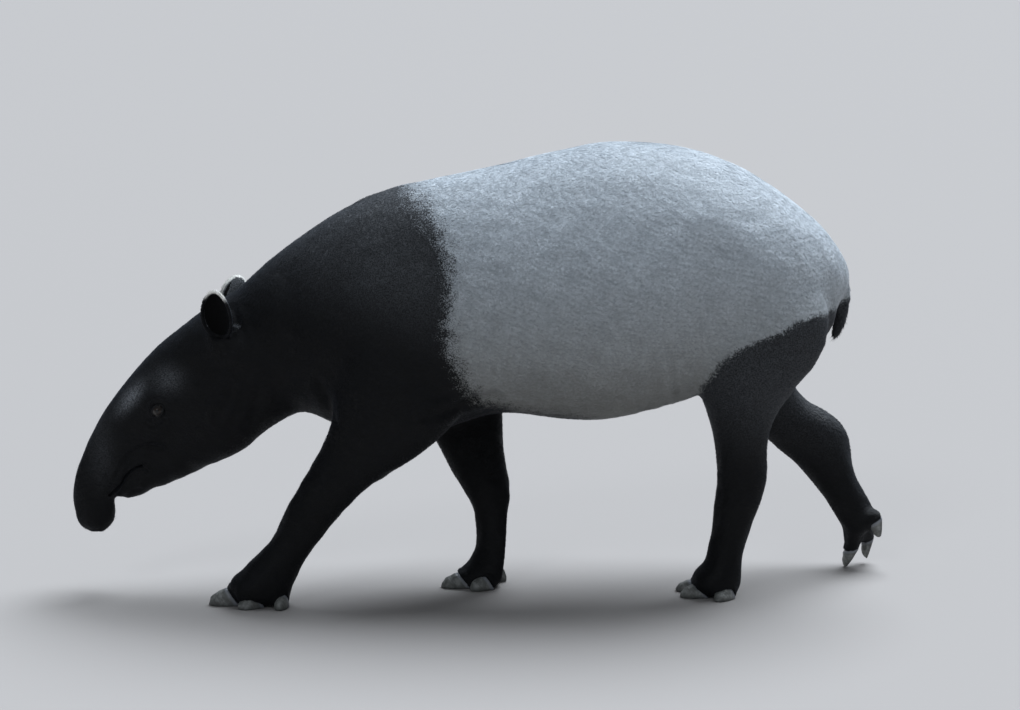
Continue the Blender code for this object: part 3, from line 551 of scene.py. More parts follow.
def shapeBody(places, normals):
    x, _, z = measured(places).T
    push = np.zeros(len(places))
    for line, halfWidth, depth, swell, sides in bodyFolds.values():
        low, high = np.min(line, axis=0) - 4 * halfWidth, np.max(line, axis=0) + 4 * halfWidth
        near = np.nonzero((x > low[0]) & (x < high[0]) & (z > low[1]) & (z < high[1]))[0]
        pressed = pressLine(x[near], z[near], line, halfWidth, depth, swell)
        for side in sides:
            push[near] += pressed * np.clip(normals[near, 1] * side * 3, 0, 1)
    trunk = smoothStep(-0.45, -0.25, x) * smoothStep(0.40, 0.55, z)
    push += trunk * 0.0007 * waves(places * (1.0, 1.0, 0.55), 0.075, 3)
    legs = 1 - smoothStep(0.30, 0.42, z)
    push += legs * 0.0008 * waves(places * (1.0, 1.0, 0.5), 0.05, 5)
    return pushed(places, normals, push)


nostrilLook = {"x": -0.9335, "y": 0.0150, "z": 0.1640, "radius": 0.0072, "depth": 0.0105, "rim": 0.0014}


def shapeNostrils(places, normals):
    flat = straightened(places)
    push = np.zeros(len(places))
    for side in (-1, 1):
        middle = np.array([nostrilLook["x"], nostrilLook["y"] * side, nostrilLook["z"]])
        away = (flat - middle) * (0.72, 1.15, 0.8)
        reach = np.linalg.norm(away, axis=1) / nostrilLook["radius"]
        push -= nostrilLook["depth"] * np.exp(-(reach**4))
        push += nostrilLook["rim"] * hump(reach, 1.55, 0.35)
    return pushed(places, normals, push)


earLook = {
    "root": (-0.6200, 0.104, 0.638),
    "layBack": {-1: 5, 1: 11},  # degrees, left ear and right ear
    "halfWidth": 0.0408,
    "halfHeight": 0.0645,
    "taper": 0.10,  # how much narrower it is at the top
    "rise": 0.0665,  # from the root up to the middle of the opening
    "rimOut": -0.0030,
    "rimWave": 0.0022,
    "notch": 0.0050,  # dip of the rim at its foot
    "depth": 0.0270,
    "wall": 0.0046,
    "rootSwell": 0.0030,
    "leastY": 0.09,  # both ears lie further out than this
    "around": 88,
    "levels": 22,
}


def earAxes(side):
    turn = Matrix.Rotation(math.radians(earLook["layBack"][side]), 3, "Y")
    up = turn @ Vector((-0.10, side * 0.30, 1.0)).normalized()
    out = Vector((-0.42, side, -0.12))
    out = (out - up * out.dot(up)).normalized()
    rootX, rootY, rootZ = earLook["root"]
    middle = Vector((rootX, rootY * side, rootZ)) + up * earLook["rise"]
    return [np.array(way) for way in (middle + out * earLook["rimOut"], up.cross(out), up, out)]


def earShares(flat, side):
    # across, up and out of an ear's opening, the first two from -1 to 1 at its edge
    middle, across, up, out = earAxes(side)
    away = flat - middle
    wide, high = away @ across / earLook["halfWidth"], away @ up / earLook["halfHeight"]
    return wide / (1.0 - earLook["taper"] * np.clip(high, -1, 1)), high, away @ out


def earReach(flat):
    # 0 in the middle of an ear, 1 at its rim, and below 0 away from the ears
    found = np.full(len(flat), -1.0)
    for side in (-1, 1):
        wide, high, out = earShares(flat, side)
        reach = np.hypot(wide, high)
        near = (reach < 1.12) & (out > -0.034) & (out < 0.012) & (flat[:, 1] * side > earLook["leastY"])
        near &= (high > -0.45) | (out > -0.006)
        found = np.where(near, reach, found)
    return found


def earRim(flat):
    # 1 on the pale hair along the top of the rim
    found = np.zeros(len(flat))
    for side in (-1, 1):
        wide, high, out = earShares(flat, side)
        edge = smoothStep(0.86, 0.93, np.hypot(wide, high)) * smoothStep(-0.0150, -0.0100, out)
        top = smoothStep(0.38, 0.66, high - 0.22 * np.abs(wide))
        edge *= top + 0.7 * smoothStep(-0.1, 0.2, high) * (side > 0)
        edge = np.where(flat[:, 1] * side > earLook["leastY"], edge, 0)
        found = np.maximum(found, np.clip(edge, 0, 1))
    return found


def earProfile():
    # how far out and how high each ring of an ear lies: its back out to the rim, the rim, then down the cup
    depth, wall, levels = earLook["depth"], earLook["wall"], earLook["levels"]
    shrink = 1 - wall / earLook["halfWidth"]
    profile = []
    for a in np.linspace(math.pi / 2, 0.10, levels)[1:]:
        profile.append((math.cos(a), -depth * math.sin(a) ** 1.2))
    for a in np.linspace(0.15, 0.85, 7) * math.pi:
        profile.append((shrink + (1 - shrink) * (0.5 + 0.5 * math.cos(a)), 0.5 * wall * math.sin(a)))
    for a in np.linspace(0.10, math.pi / 2, levels)[:-1]:
        profile.append((shrink * math.cos(a), -(depth - wall) * math.sin(a) ** 1.1))
    return profile


def earShell(side):
    # points and faces of one ear: its rings, then the middle of its back and of its cup
    middle, across, up, out = earAxes(side)
    count = earLook["around"]
    profile = earProfile()
    points, faces = [], []
    for reach, level in profile:
        for angle in np.linspace(0, 2 * math.pi, count, endpoint=False):
            high = math.sin(angle)
            wide = math.cos(angle) * (1.0 - earLook["taper"] * high)
            wave = earLook["rimWave"] * math.cos(2 * angle) * reach**3
            wave -= earLook["notch"] * reach**4 * max(0.0, -high) ** 6
            place = middle + across * (wide * reach * earLook["halfWidth"])
            place += up * (high * reach * earLook["halfHeight"])
            points.append(place + out * (level + wave))
    points.append(middle - out * earLook["depth"])
    points.append(middle - out * (earLook["depth"] - earLook["wall"]))
    last = (len(profile) - 1) * count
    pairs = [(j, (j + 1) % count) for j in range(count)]
    for i in range(0, last, count):
        faces += [(i + j, i + k, i + count + k, i + count + j) for j, k in pairs]
    for j, k in pairs:
        faces.append((k, j, last + count))
        faces.append((last + j, last + k, last + count + 1))
    return np.array(points), faces


def shapeEarRoots(places):
    # the head swells up to each ear, and leaves its cup free
    flat = straightened(places)
    for side in (-1, 1):
        out = earAxes(side)[3]
        wide, high, level = earShares(flat, side)
        reach = np.hypot(wide, high)
        near = (flat[:, 1] * side > 0.02) & (reach < 2.2) & (np.abs(level) < 0.08)
        near = np.nonzero(near & (flat[:, 0] < neckBend["headBackX"]))[0]
        reach, high, level = reach[near], high[near], level[near]
        inside = 1 - smoothStep(0.90, 0.99, reach)
        floor = -(earLook["depth"] + 0.004) * np.sqrt(np.clip(1 - reach**2, 0.05, 1))
        drop = np.minimum(floor - level, 0) * inside
        back = smoothStep(-0.062, -0.030, level) * (1 - smoothStep(-0.014, 0.0, level))
        swell = earLook["rootSwell"] * hump(reach, 0.95, 0.20) * back * smoothStep(0.6, 0.0, high)
        places[near] = bent(flat[near] + (drop + swell * (1 - inside))[:, None] * out)
    return places


def addEars(obj):
    # returns how many points the skin had before
    whole = bmesh.new()
    whole.from_mesh(obj.data)
    before = len(whole.verts)
    for side in (-1, 1):
        points, faces = earShell(side)
        made = [whole.verts.new(p) for p in bent(points)]
        for face in faces:
            whole.faces.new([made[i] for i in face])
    whole.verts.ensure_lookup_table()
    ears = [face for face in whole.faces if face.verts[0].index < 0 or face.verts[0].index >= before]
    bmesh.ops.recalc_face_normals(whole, faces=ears)
    whole.to_mesh(obj.data)
    whole.free()
    obj.data.update()
    return before


toeLook = {
    "sink": 0.0050,  # how deep the skin dips under the horn
    "fill": 0.0045,  # the most that it rises to cover a hoof's heel
    "lobe": 0.0026,  # the swelling of the toe behind the horn, its place and its length
    "lobeAt": -0.0120,
    "lobeLength": 0.0100,
    "edge": 0.0008,  # the small rim right behind the horn
    "edgeAt": -0.0042,
    "edgeLength": 0.0026,
}


def sinkAtHooves(places, normals):
    # the skin dips under the horn and swells a little behind it; returns where horn covers it
    covered, push, lift = np.zeros((3, len(places)))
    for name in sheathedHooves:
        hoof = HoofPlace(name)
        along, rise, side = hoof.shares(places)
        near = (along > -0.25) & (along < 1.15) & (rise > -0.3) & (rise < 1.4) & (np.abs(side) < 1.35)
        near = np.nonzero(near)[0]
        outside = distanceOutside(nodeTree(name), places[near], 0.02)
        reach = hoof.hornReach(places[near])
        sink = (1 - smoothStep(0.0006, 0.0034, outside)) * smoothStep(-0.0016, 0.0010, reach)
        push[near] = np.minimum(push[near], -sink * toeLook["sink"])
        fill = np.clip(0.0012 - outside, 0, toeLook["fill"]) * (np.abs(outside) < 0.008)
        lobe = toeLook["lobe"] * hump(reach, toeLook["lobeAt"], toeLook["lobeLength"])
        lobe *= smoothStep(0.3, 0.9, rise[near])
        edge = toeLook["edge"] * hump(reach, toeLook["edgeAt"], toeLook["edgeLength"])
        toe = fill + (lobe + edge) * (1 - smoothStep(0.004, 0.010, np.abs(outside)))
        toe *= (1 - smoothStep(-0.0050, -0.0010, reach)) * smoothStep(0.02, 0.20, along[near])
        lift[near] = np.maximum(lift[near], toe)
        covered[near] = np.maximum(covered[near], sink)
    return pushed(places, normals, push + lift * (covered < 0.3)), covered


def heelSoftness(places):
    # 1 at the back rims of the hooves, which the skin rounds over
    found = np.zeros(len(places))
    for name in sheathedHooves:
        along, rise, side = HoofPlace(name).shares(places)
        near = (along > -0.25) & (along < 0.35) & (rise > -0.1) & (rise < 1.3) & (np.abs(side) < 1.25)
        found = np.maximum(found, near * (1.0 if name.endswith("small") else 0.6))
    return found


def mouthDistance(flat):
    return distanceToLine(flat[:, 0], flat[:, 2], faceLines["mouth"][0])


def snoutTip(flat, low, high):
    # 1 at the lower end of the snout, fading out from low to high
    return (1 - smoothStep(low, high, flat[:, 2])) * (flat[:, 0] < -0.85)


def eyeDistance(places):
    return np.min([np.linalg.norm(places - eyeMiddle(name), axis=1) for name in eyeSides], axis=0)


def smoothFlesh(mesh):
    # takes away the steps of the fused faces, least on face and feet
    places = readPlaces(mesh)
    flat = straightened(places)
    face = smoothStep(-0.86, -0.52, flat[:, 0])
    leg = smoothStep(0.16, 0.36, places[:, 2])
    soft = skinLook["leastSoft"] + (1 - skinLook["leastSoft"]) * np.minimum(face, leg)
    lips = (1 - smoothStep(0.012, 0.030, mouthDistance(flat))) * (flat[:, 0] < -0.78)
    soft = np.maximum(soft, skinLook["lipSoft"] * lips)
    soft = np.maximum(soft, skinLook["snoutTipSoft"] * snoutTip(flat, 0.175, 0.235))
    writePlaces(mesh, softened(places, edgePairs(mesh), soft, skinLook["softTurns"]))


def refineSkin(obj):
    mesh = obj.data
    places = readPlaces(mesh)
    flat = straightened(places)
    fine = (flat[:, 0] < skinLook["fineHeadX"]) | (places[:, 2] < skinLook["fineFootZ"])
    fine |= (places[:, 2] < skinLook["raisedFootZ"]) & (measured(places)[:, 0] > skinLook["raisedFootX"])
    for side in (-1, 1):
        wide, high, _ = earShares(flat, side)
        fine |= (np.hypot(wide, high) < 1.5) & (flat[:, 1] * side > 0.04) & (flat[:, 2] > 0.55)
    refined(obj, fine)
    places = readPlaces(mesh)
    flat = straightened(places)
    fine = (mouthDistance(flat) < 0.012) | (eyeDistance(places) < skinLook["eyeReach"])
    refined(obj, fine | ((flat[:, 2] < 0.200) & (flat[:, 0] < -0.88)))
    refined(obj, eyeDistance(readPlaces(mesh)) < skinLook["eyeRimReach"])

    places = readPlaces(mesh)
    flat = straightened(places)
    fine = (flat[:, 0] < skinLook["fineHeadX"]) | (places[:, 2] < skinLook["raisedFootZ"])
    fine |= np.abs(flat[:, 1]) > 0.085
    places = softened(places, edgePairs(mesh), 0.6 * fine, 3)
    places = softened(places, edgePairs(mesh), heelSoftness(places), 14)
    writePlaces(mesh, softened(places, edgePairs(mesh), np.floor(heelSoftness(places)), 45))


def shapeSkin(mesh):
    # sets the skin in and works its forms; returns where it stays bare, as far as lids and horn go
    places = readPlaces(mesh)
    depth = skinLook["setIn"] - skinLook["snoutTipFill"] * snoutTip(straightened(places), 0.165, 0.215)
    places, covered = sinkAtHooves(pushed(places, readNormals(mesh), -depth), readNormals(mesh))
    writePlaces(mesh, places)
    for shape in (shapeBody, shapeFace):
        writePlaces(mesh, shape(readPlaces(mesh), readNormals(mesh)))
    places = shapeNostrils(readPlaces(mesh), readNormals(mesh))
    shut = shapeLids(places)
    places = shapeEarRoots(places)
    places[:, 2] = np.maximum(places[:, 2], skinLook["leastZ"])
    writePlaces(mesh, places)
    return np.maximum(shut, covered)


def cupBareAndShaded(flat):
    # 0.6 inside the cups of the ears, which grow no tufts and get a near-black painted shade
    found = np.zeros(len(flat))
    for side in (-1, 1):
        wide, high, out = earShares(flat, side)
        bowl = 0.0245 * np.sqrt(np.clip(1 - wide**2 - high**2, 0, 1)) + 0.0002
        found[(np.hypot(wide, high) < 0.86) & (out > -bowl) & (flat[:, 1] * side > 0)] = 0.6
    return found


def makeSkin():
    obj = largestPiece(fusedFlesh())
    mesh = obj.data
    print("skin fused,", len(mesh.polygons), "faces")
    smoothFlesh(mesh)
    refineSkin(obj)
    print("skin refined,", len(mesh.polygons), "faces")
    shaped = shapeSkin(mesh)
    before = addEars(obj)
    shadedCups = cupBareAndShaded(straightened(readPlaces(mesh))[before:])
    mesh.shade_smooth()
    print("skin shaped")
    return obj, np.concatenate([shaped, shadedCups])


skin, bare = makeSkin()
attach(skin, "root")
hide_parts(*fleshNodes)


# Markings and painted sheen, as values on the skin that the coat repeats

markLook = {
    "frontEdge": [  # x and z of the pale saddle's front edge in the side view, from the belly to the back
        (0.260, 0.430), (0.180, 0.456), (0.079, 0.469), (0.030, 0.484), (-0.024, 0.505), (-0.035, 0.525),
        (-0.061, 0.557), (-0.090, 0.624), (-0.097, 0.721), (-0.089, 0.789), (-0.092, 0.859), (-0.114, 0.911),
        (-0.137, 0.955), (-0.172, 0.985), (-0.215, 1.100),
    ],
    "lowEdge": [  # x and z of its edge over the thigh, from the belly to under the tail
        (0.440, 0.400), (0.488, 0.470), (0.507, 0.536), (0.530, 0.578), (0.541, 0.599), (0.597, 0.641),
        (0.679, 0.669), (0.713, 0.693), (0.759, 0.705), (0.814, 0.706), (0.865, 0.710), (0.950, 0.740),
    ],
    "frontSoftness": 0.30,  # under 1 spreads the front edge wider than the one over the thigh
    "topSoftness": 0.19,  # the same at the withers
    "lowEdgeX": 0.30,  # the edge over the thigh counts behind this
    "hairBreak": 0.034,  # how far the edge wanders from hair to hair
    "lockBreak": 0.016,  # and from lock to lock
    "blend": (-0.0065, 0.0055),
}


def saddleAt(places):
    # over 0 inside the pale saddle, in metres from its edge
    x, _, z = measured(places).T
    front, rear = np.array(markLook["frontEdge"]), np.array(markLook["lowEdge"])
    upper = smoothStep(0.78, 0.95, z)
    softness = markLook["frontSoftness"] * (1 - upper) + markLook["topSoftness"] * upper
    inFront = np.where(x > np.interp(z, front[:, 1], front[:, 0]), 1.0, -1.0)
    inFront *= distanceToLine(x, z, front) * softness
    over = np.where(z > np.interp(x, rear[:, 0], rear[:, 1]), 1.0, -1.0) * distanceToLine(x, z, rear)
    over = np.where(x < markLook["lowEdgeX"], 1.0, over)
    return np.clip(np.minimum(inFront, over), -0.2, 0.2)


frostAndSheenLook = {
    "browAt": (-0.838, 0.497),  # x and z on the straight head
    "browRun": (0.66, 0.75),
    "browLength": 0.045,
    "browWidth": 0.017,
    "cheek": 0.40,
    "snout": 0.16,
    # the nape holds grey hairs and painted sheen
    "nape": 0.22,
    "withers": 0.8,  # how much more of it there is high up, as painted sheen along the withers
    # painted sheen on the backs of the ears
    "earBacks": 0.5,
}


def frostAndSheenAt(flat):
    # grey frosting over the brow and down the forehead, grey hairs and painted sheen along the nape and
    # withers, and painted sheen on the backs of the ears
    x, y, z = flat.T
    ahead, above = x - frostAndSheenLook["browAt"][0], z - frostAndSheenLook["browAt"][1]
    runX, runZ = frostAndSheenLook["browRun"]
    brow = hump(ahead * runX + above * runZ, 0, frostAndSheenLook["browLength"])
    brow *= hump(above * runX - ahead * runZ, 0, frostAndSheenLook["browWidth"])
    brow *= smoothStep(0.012, 0.035, np.abs(y))
    cheek = frostAndSheenLook["cheek"] * hump(x, -0.745, 0.035) * hump(z, 0.545, 0.030)
    snout = frostAndSheenLook["snout"] * hump(x, -0.915, 0.030) * hump(z, 0.370, 0.085)
    nape = frostAndSheenLook["nape"] * smoothStep(0.62, 0.88, z + 0.35 * x + 0.10) * smoothStep(-0.75, -0.45, x)
    # painted sheen thickens high up along the withers
    nape *= 1 + frostAndSheenLook["withers"] * smoothStep(0.88, 0.99, z)
    backSheen = np.zeros(len(flat))
    for side in (-1, 1):
        wide, high, out = earShares(flat, side)
        behind = (np.hypot(wide, high) < 1.05) & (out < -0.004) & (out > -0.036) & (high > -0.6)
        behind &= y * side > earLook["leastY"]
        backSheen = np.maximum(backSheen, behind * frostAndSheenLook["earBacks"])
    return np.clip(np.maximum(brow + cheek + snout + nape, backSheen), 0, 1)


def writeMarks(mesh):
    places = readPlaces(mesh)
    flat = straightened(places)
    writeAttribute(mesh, "saddle", saddleAt(places))
    writeAttribute(mesh, "frostAndSheen", frostAndSheenAt(flat))
    writeAttribute(mesh, "rim", earRim(flat))
    writeAttribute(mesh, "bare", bare)


writeMarks(skin.data)


# Finishes from nodes


def newFinish(name):
    finish = bpy.data.materials.new(name)
    finish.use_nodes = True
    return finish, finish.node_tree, finish.node_tree.nodes["Principled BSDF"]


def plug(tree, target, source):
    if isinstance(source, bpy.types.NodeSocket):
        tree.links.new(source, target)
    else:
        target.default_value = source


def maths(tree, operation, first, second):
    made = tree.nodes.new("ShaderNodeMath")
    made.operation = operation
    plug(tree, made.inputs[0], first)
    plug(tree, made.inputs[1], second)
    return made.outputs[0]


def summed(tree, first, second):
    return maths(tree, "ADD", first, second)


def scaled(tree, value, factor):
    return maths(tree, "MULTIPLY", value, factor)


def jitter(tree, value, size):
    # a noise as a shift to both sides of 0
    return scaled(tree, maths(tree, "SUBTRACT", value, 0.5), size)


def spread(tree, value, low, high, toLow=0.0, toHigh=1.0):
    made = tree.nodes.new("ShaderNodeMapRange")
    made.interpolation_type = "SMOOTHSTEP"
    plug(tree, made.inputs["Value"], value)
    made.inputs["From Min"].default_value = low
    made.inputs["From Max"].default_value = high
    made.inputs["To Min"].default_value = toLow
    made.inputs["To Max"].default_value = toHigh
    return made.outputs["Result"]


def blended(tree, factor, first, second):
    made = tree.nodes.new("ShaderNodeMix")
    made.data_type = "RGBA"
    plug(tree, made.inputs[0], factor)
    for socket, colour in ((6, first), (7, second)):
        plug(tree, made.inputs[socket], colour if isinstance(colour, bpy.types.NodeSocket) else (*colour, 1))
    return made.outputs[2]


def stored(tree, name):
    made = tree.nodes.new("ShaderNodeAttribute")
    made.attribute_name = name
    return made.outputs["Fac"]


def ownPlace(tree, scale=(1, 1, 1), turn=(0, 0, 0)):
    where = tree.nodes.new("ShaderNodeTexCoord")
    mapping = tree.nodes.new("ShaderNodeMapping")
    mapping.inputs["Scale"].default_value = scale
    mapping.inputs["Rotation"].default_value = turn
    tree.links.new(where.outputs["Object"], mapping.inputs["Vector"])
    return mapping.outputs["Vector"]


def noise(tree, vector, scale, detail=2.0, roughness=0.5):
    made = tree.nodes.new("ShaderNodeTexNoise")
    tree.links.new(vector, made.inputs["Vector"])
    made.inputs["Scale"].default_value = scale
    made.inputs["Detail"].default_value = detail
    made.inputs["Roughness"].default_value = roughness
    return made.outputs["Fac"]


def bumped(tree, shader, height, distance, strength):
    made = tree.nodes.new("ShaderNodeBump")
    made.inputs["Distance"].default_value = distance
    made.inputs["Strength"].default_value = strength
    tree.links.new(height, made.inputs["Height"])
    tree.links.new(made.outputs["Normal"], shader.inputs["Normal"])


coatLook = {
    "blackDeep": (0.0026, 0.0026, 0.0026),
    "blackLight": (0.0090, 0.0098, 0.0120),
    "paleLight": (0.74, 0.80, 0.86),
    "paleDark": (0.30, 0.34, 0.38),
    # dust and painted shade, darkening the pale coat towards the belly
    "bellyDustAndShade": (0.205, 0.198, 0.172),
    "dustAndShade": 0.85,  # how much of the dust and painted shade lies lowest on the pale coat
    "dustAndShadeFrom": 0.98,  # it thickens from this height down to the height below
    "dustAndShadeTo": 0.46,
    # near-black painted shade inside the ear cups
    "earCupShade": (0.0010, 0.0010, 0.0009),
    # grey of the frosting, also used as painted sheen
    "frostAndSheen": (0.30, 0.32, 0.35),
    "earRim": (0.86, 0.85, 0.82),
    "sheen": 0.05,
    "sheenRoughness": 0.45,
    "sheenTint": (0.62, 0.74, 1.0, 1),
    "shine": 0.19,
    "roughness": (0.50, 0.72),
    "hairNoise": 330.0,
    "lockNoise": 46.0,
    "streaks": 0.30,  # how much the tufts' tone changes along streaks, from patch to patch and one by one
    "patches": 0.12,
    "speckle": 0.12,
    "count": 216000,
    "pieces": 8,
    "length": 0.0092,
    "width": 0.0015,
    "lift": 0.0019,
    "fan": 0.30,  # angle between a tuft's leaves
    "rootDip": 0.0004,
    "leastSize": 0.42,  # on the tip of the face and above the hooves, where the trunk has 1
    "earSize": 0.48,
    "tailTip": 1.3,
    "fringe": 0.35,
    "whiskers": 0.014,  # share of the hairs on snout and lips that are long
    "whiskerLength": (3.0, 5.2),
    "whiskerWidth": 0.35,
    "whiskerLift": 5.0,
    "leastRootZ": 0.006,
    "leastZ": 0.0003,  # no hair passes through the floor
}

hideLook = {
    "ripple": 190.0,  # scales of its two noises
    "grain": 700.0,
    "rippleStretch": (0.42, 1.0, 1.0),
    "rippleTurn": (0, 0.45, 0),
    "depth": 0.0016,
    "strength": 0.75,
    "hairRoughness": 0.60,
    "lidRoughness": 0.34,
}


def coatColour(tree, shade):
    # the colour at each place, which the skin and the tufts share; shade is 0 for dark hair and 1 for light
    where = ownPlace(tree)
    fine = noise(tree, where, coatLook["hairNoise"])
    coarse = noise(tree, where, coatLook["lockNoise"], 3.0)
    edge = summed(tree, stored(tree, "saddle"), jitter(tree, fine, markLook["hairBreak"]))
    edge = summed(tree, edge, jitter(tree, coarse, markLook["lockBreak"]))
    black = blended(tree, shade, coatLook["blackDeep"], coatLook["blackLight"])
    # grey frosting, and painted sheen along nape, withers and ear backs
    frostAndSheen = scaled(tree, stored(tree, "frostAndSheen"), spread(tree, fine, 0.28, 0.72, 0.15, 1.0))
    black = blended(tree, frostAndSheen, black, coatLook["frostAndSheen"])
    light = blended(tree, shade, coatLook["paleDark"], coatLook["paleLight"])
    apart = tree.nodes.new("ShaderNodeSeparateXYZ")
    tree.links.new(where, apart.inputs[0])
    # the pale coat darkens downwards: some dust, and painted shade of the lower flank and belly
    height = summed(tree, apart.outputs["Z"], scaled(tree, coarse, 0.10))
    dustAndShadeShare = spread(tree, height, coatLook["dustAndShadeFrom"], coatLook["dustAndShadeTo"], 0.0, coatLook["dustAndShade"])
    light = blended(tree, dustAndShadeShare, light, coatLook["bellyDustAndShade"])
    whole = blended(tree, spread(tree, edge, *markLook["blend"]), black, light)
    # near-black painted shade inside the ear cups, where bare is 0.6
    cupShade = spread(tree, stored(tree, "bare"), 0.42, 0.58)
    cupShade = scaled(tree, cupShade, spread(tree, stored(tree, "bare"), 0.66, 0.90, 1.0, 0.0))
    whole = blended(tree, cupShade, whole, coatLook["earCupShade"])
    return blended(tree, stored(tree, "rim"), whole, coatLook["earRim"])


def setSheen(shader):
    shader.inputs["Specular IOR Level"].default_value = coatLook["shine"]
    shader.inputs["Sheen Weight"].default_value = coatLook["sheen"]
    shader.inputs["Sheen Roughness"].default_value = coatLook["sheenRoughness"]
    shader.inputs["Sheen Tint"].default_value = coatLook["sheenTint"]


def skinFinish():
    finish, tree, shader = newFinish("skin")
    lay = ownPlace(tree, hideLook["rippleStretch"], hideLook["rippleTurn"])
    ripple = noise(tree, lay, hideLook["ripple"], 3.0, 0.6)
    grain = noise(tree, ownPlace(tree), hideLook["grain"])
    shade = summed(tree, scaled(tree, ripple, 0.8), scaled(tree, grain, 0.25))
    shade = spread(tree, shade, 0.30, 0.78, 0.0, 0.75)
    plug(tree, shader.inputs["Base Color"], coatColour(tree, shade))
    dry = spread(tree, stored(tree, "bare"), 0.30, 0.60, hideLook["hairRoughness"], 1.0)
    wet = spread(tree, stored(tree, "bare"), 0.62, 1.0, 1.0, hideLook["lidRoughness"])
    plug(tree, shader.inputs["Roughness"], scaled(tree, dry, wet))
    setSheen(shader)
    height = summed(tree, ripple, scaled(tree, grain, 0.35))
    bumped(tree, shader, height, hideLook["depth"], hideLook["strength"])
    return finish


def tuftFinish():
    finish, tree, shader = newFinish("coat")
    tone = stored(tree, "tone")
    shade = summed(tree, scaled(tree, tone, 0.55), scaled(tree, stored(tree, "tip"), 0.45))
    plug(tree, shader.inputs["Base Color"], coatColour(tree, shade))
    plug(tree, shader.inputs["Roughness"], spread(tree, tone, 0.0, 1.0, *coatLook["roughness"]))
    setSheen(shader)
    return finish


skin.data.materials.append(skinFinish())
print("skin coloured")


# Coat: short flat tufts of three leaves, all joined into a few meshes


def triangleCorners(mesh):
    mesh.calc_loop_triangles()
    corners = np.empty(len(mesh.loop_triangles) * 3, np.int64)
    mesh.loop_triangles.foreach_get("vertices", corners)
    return corners.reshape(-1, 3)


def turnedBy(way, side, angle):
    return way * np.cos(angle)[:, None] + side * np.sin(angle)[:, None]


lieLook = {  # the way the hair lies on each part, and how much it strays from it
    "trunk": (1.0, 0.0, -0.42),
    "rump": (0.75, 0.0, -0.60),
    "head": (0.85, 0.0, 0.34),
    "leg": (0.14, 0.0, -1.0),
    "tail": (0.0, 0.0, -1.0),
    "ear": (0.0, 0.0, 1.0),
    "swirl": 0.22,
    "fineSwirl": 0.20,
    "scatter": 0.14,
}


def lieAt(places, normals, flat, ears, random):
    # the way the hair lies, along the surface
    x, _, z = measured(places).T
    turns = {
        "rump": smoothStep(0.45, 0.80, x),
        "head": 1 - smoothStep(-0.74, -0.52, flat[:, 0]),
        "leg": (1 - smoothStep(0.36, 0.50, z)) * smoothStep(-0.66, -0.60, x),
    }
    way = np.tile(lieLook["trunk"], (len(places), 1))
    for part, share in turns.items():
        way = way * (1 - share[:, None]) + share[:, None] * np.array(lieLook[part])
    way[(x > 0.845) & (z < 0.74) & (z > 0.58)] = lieLook["tail"]
    way[ears > 0] = lieLook["ear"]
    way -= normals * np.sum(way * normals, axis=1)[:, None]
    way /= np.maximum(np.linalg.norm(way, axis=1), 1e-6)[:, None]
    swirl = lieLook["swirl"] * waves(places, 0.16, 11) + lieLook["fineSwirl"] * waves(places, 0.035, 12)
    swirl += random.normal(0, lieLook["scatter"], len(places))
    return turnedBy(way, np.cross(normals, way), swirl)


def alongCoat(places):
    # drawn out along the lie, so that a pattern of these places streaks with the hair
    x, y, z = places.T
    return np.column_stack([(x * 0.92 - z * 0.39) * 0.36, y, x * 0.39 + z * 0.92])


# Where each part of the coat is laid out flat: the start and end of its middle line, then the corner and
# size of its patch
skinCharts = {
    "trunk": ((-0.55, 0.0, 0.60), (0.92, 0.0, 0.76), (0.004, 0.004), (0.60, 0.55)),
    "head": ((-0.96, 0.0, 0.18), (-0.52, 0.0, 0.66), (0.62, 0.004), (0.37, 0.55)),
    "foreleg_left": ((-0.56, -0.113, 0.0), (-0.20, -0.150, 0.50), (0.004, 0.57), (0.19, 0.42)),
    "foreleg_right": ((0.02, 0.068, 0.0), (-0.05, 0.140, 0.50), (0.204, 0.57), (0.19, 0.42)),
    "hindleg_left": ((0.58, -0.102, 0.0), (0.62, -0.140, 0.60), (0.404, 0.57), (0.19, 0.42)),
    "hindleg_right": ((0.96, 0.155, 0.08), (0.66, 0.145, 0.60), (0.604, 0.57), (0.19, 0.42)),
    "tail": ((0.86, 0.0, 0.60), (0.86, 0.0, 0.80), (0.804, 0.57), (0.07, 0.42)),
    "ears": ((-0.60, 0.0, 0.60), (-0.60, 0.0, 0.78), (0.884, 0.57), (0.11, 0.42)),
}


def chartAt(places, ears):
    # the name of each place's chart
    x, y, z = places.T
    owner = np.full(len(places), "trunk", dtype="<U16")
    owner[x < -0.54] = "head"
    left = y < 0
    owner[left & (x > -0.66) & (x < 0.0) & (z < 0.42)] = "foreleg_left"
    owner[~left & (x > -0.30) & (x < 0.20) & (z < 0.42)] = "foreleg_right"
    owner[left & (x > 0.40) & (z < 0.46)] = "hindleg_left"
    owner[~left & (x > 0.40) & (z < 0.46)] = "hindleg_right"
    owner[(x > 0.87) & (z < 0.74) & (z > 0.585) & (np.abs(y) < 0.04)] = "tail"
    owner[ears > 0] = "ears"
    return owner


def unwrapAt(places, ears):
    # the flat place of each root: round the middle line of its chart, and along it
    places = measured(places)
    owner = chartAt(places, ears)
    found = np.zeros((len(places), 2))
    for name, (start, stop, corner, size) in skinCharts.items():
        mine = owner == name
        along = np.array(stop) - start
        away = places[mine] - start
        share = np.clip(away @ along / (along @ along), 0, 1)
        away -= share[:, None] * along
        along /= np.linalg.norm(along)
        across = np.cross(along, (0.0, 1.0, 0.0) if abs(along[2]) > abs(along[0]) else (0.0, 0.0, 1.0))
        angle = np.arctan2(away @ across, away @ np.cross(across, along)) / (2 * math.pi) + 0.5
        found[mine] = np.column_stack([corner[0] + angle * size[0], corner[1] + share * size[1]])
    return found


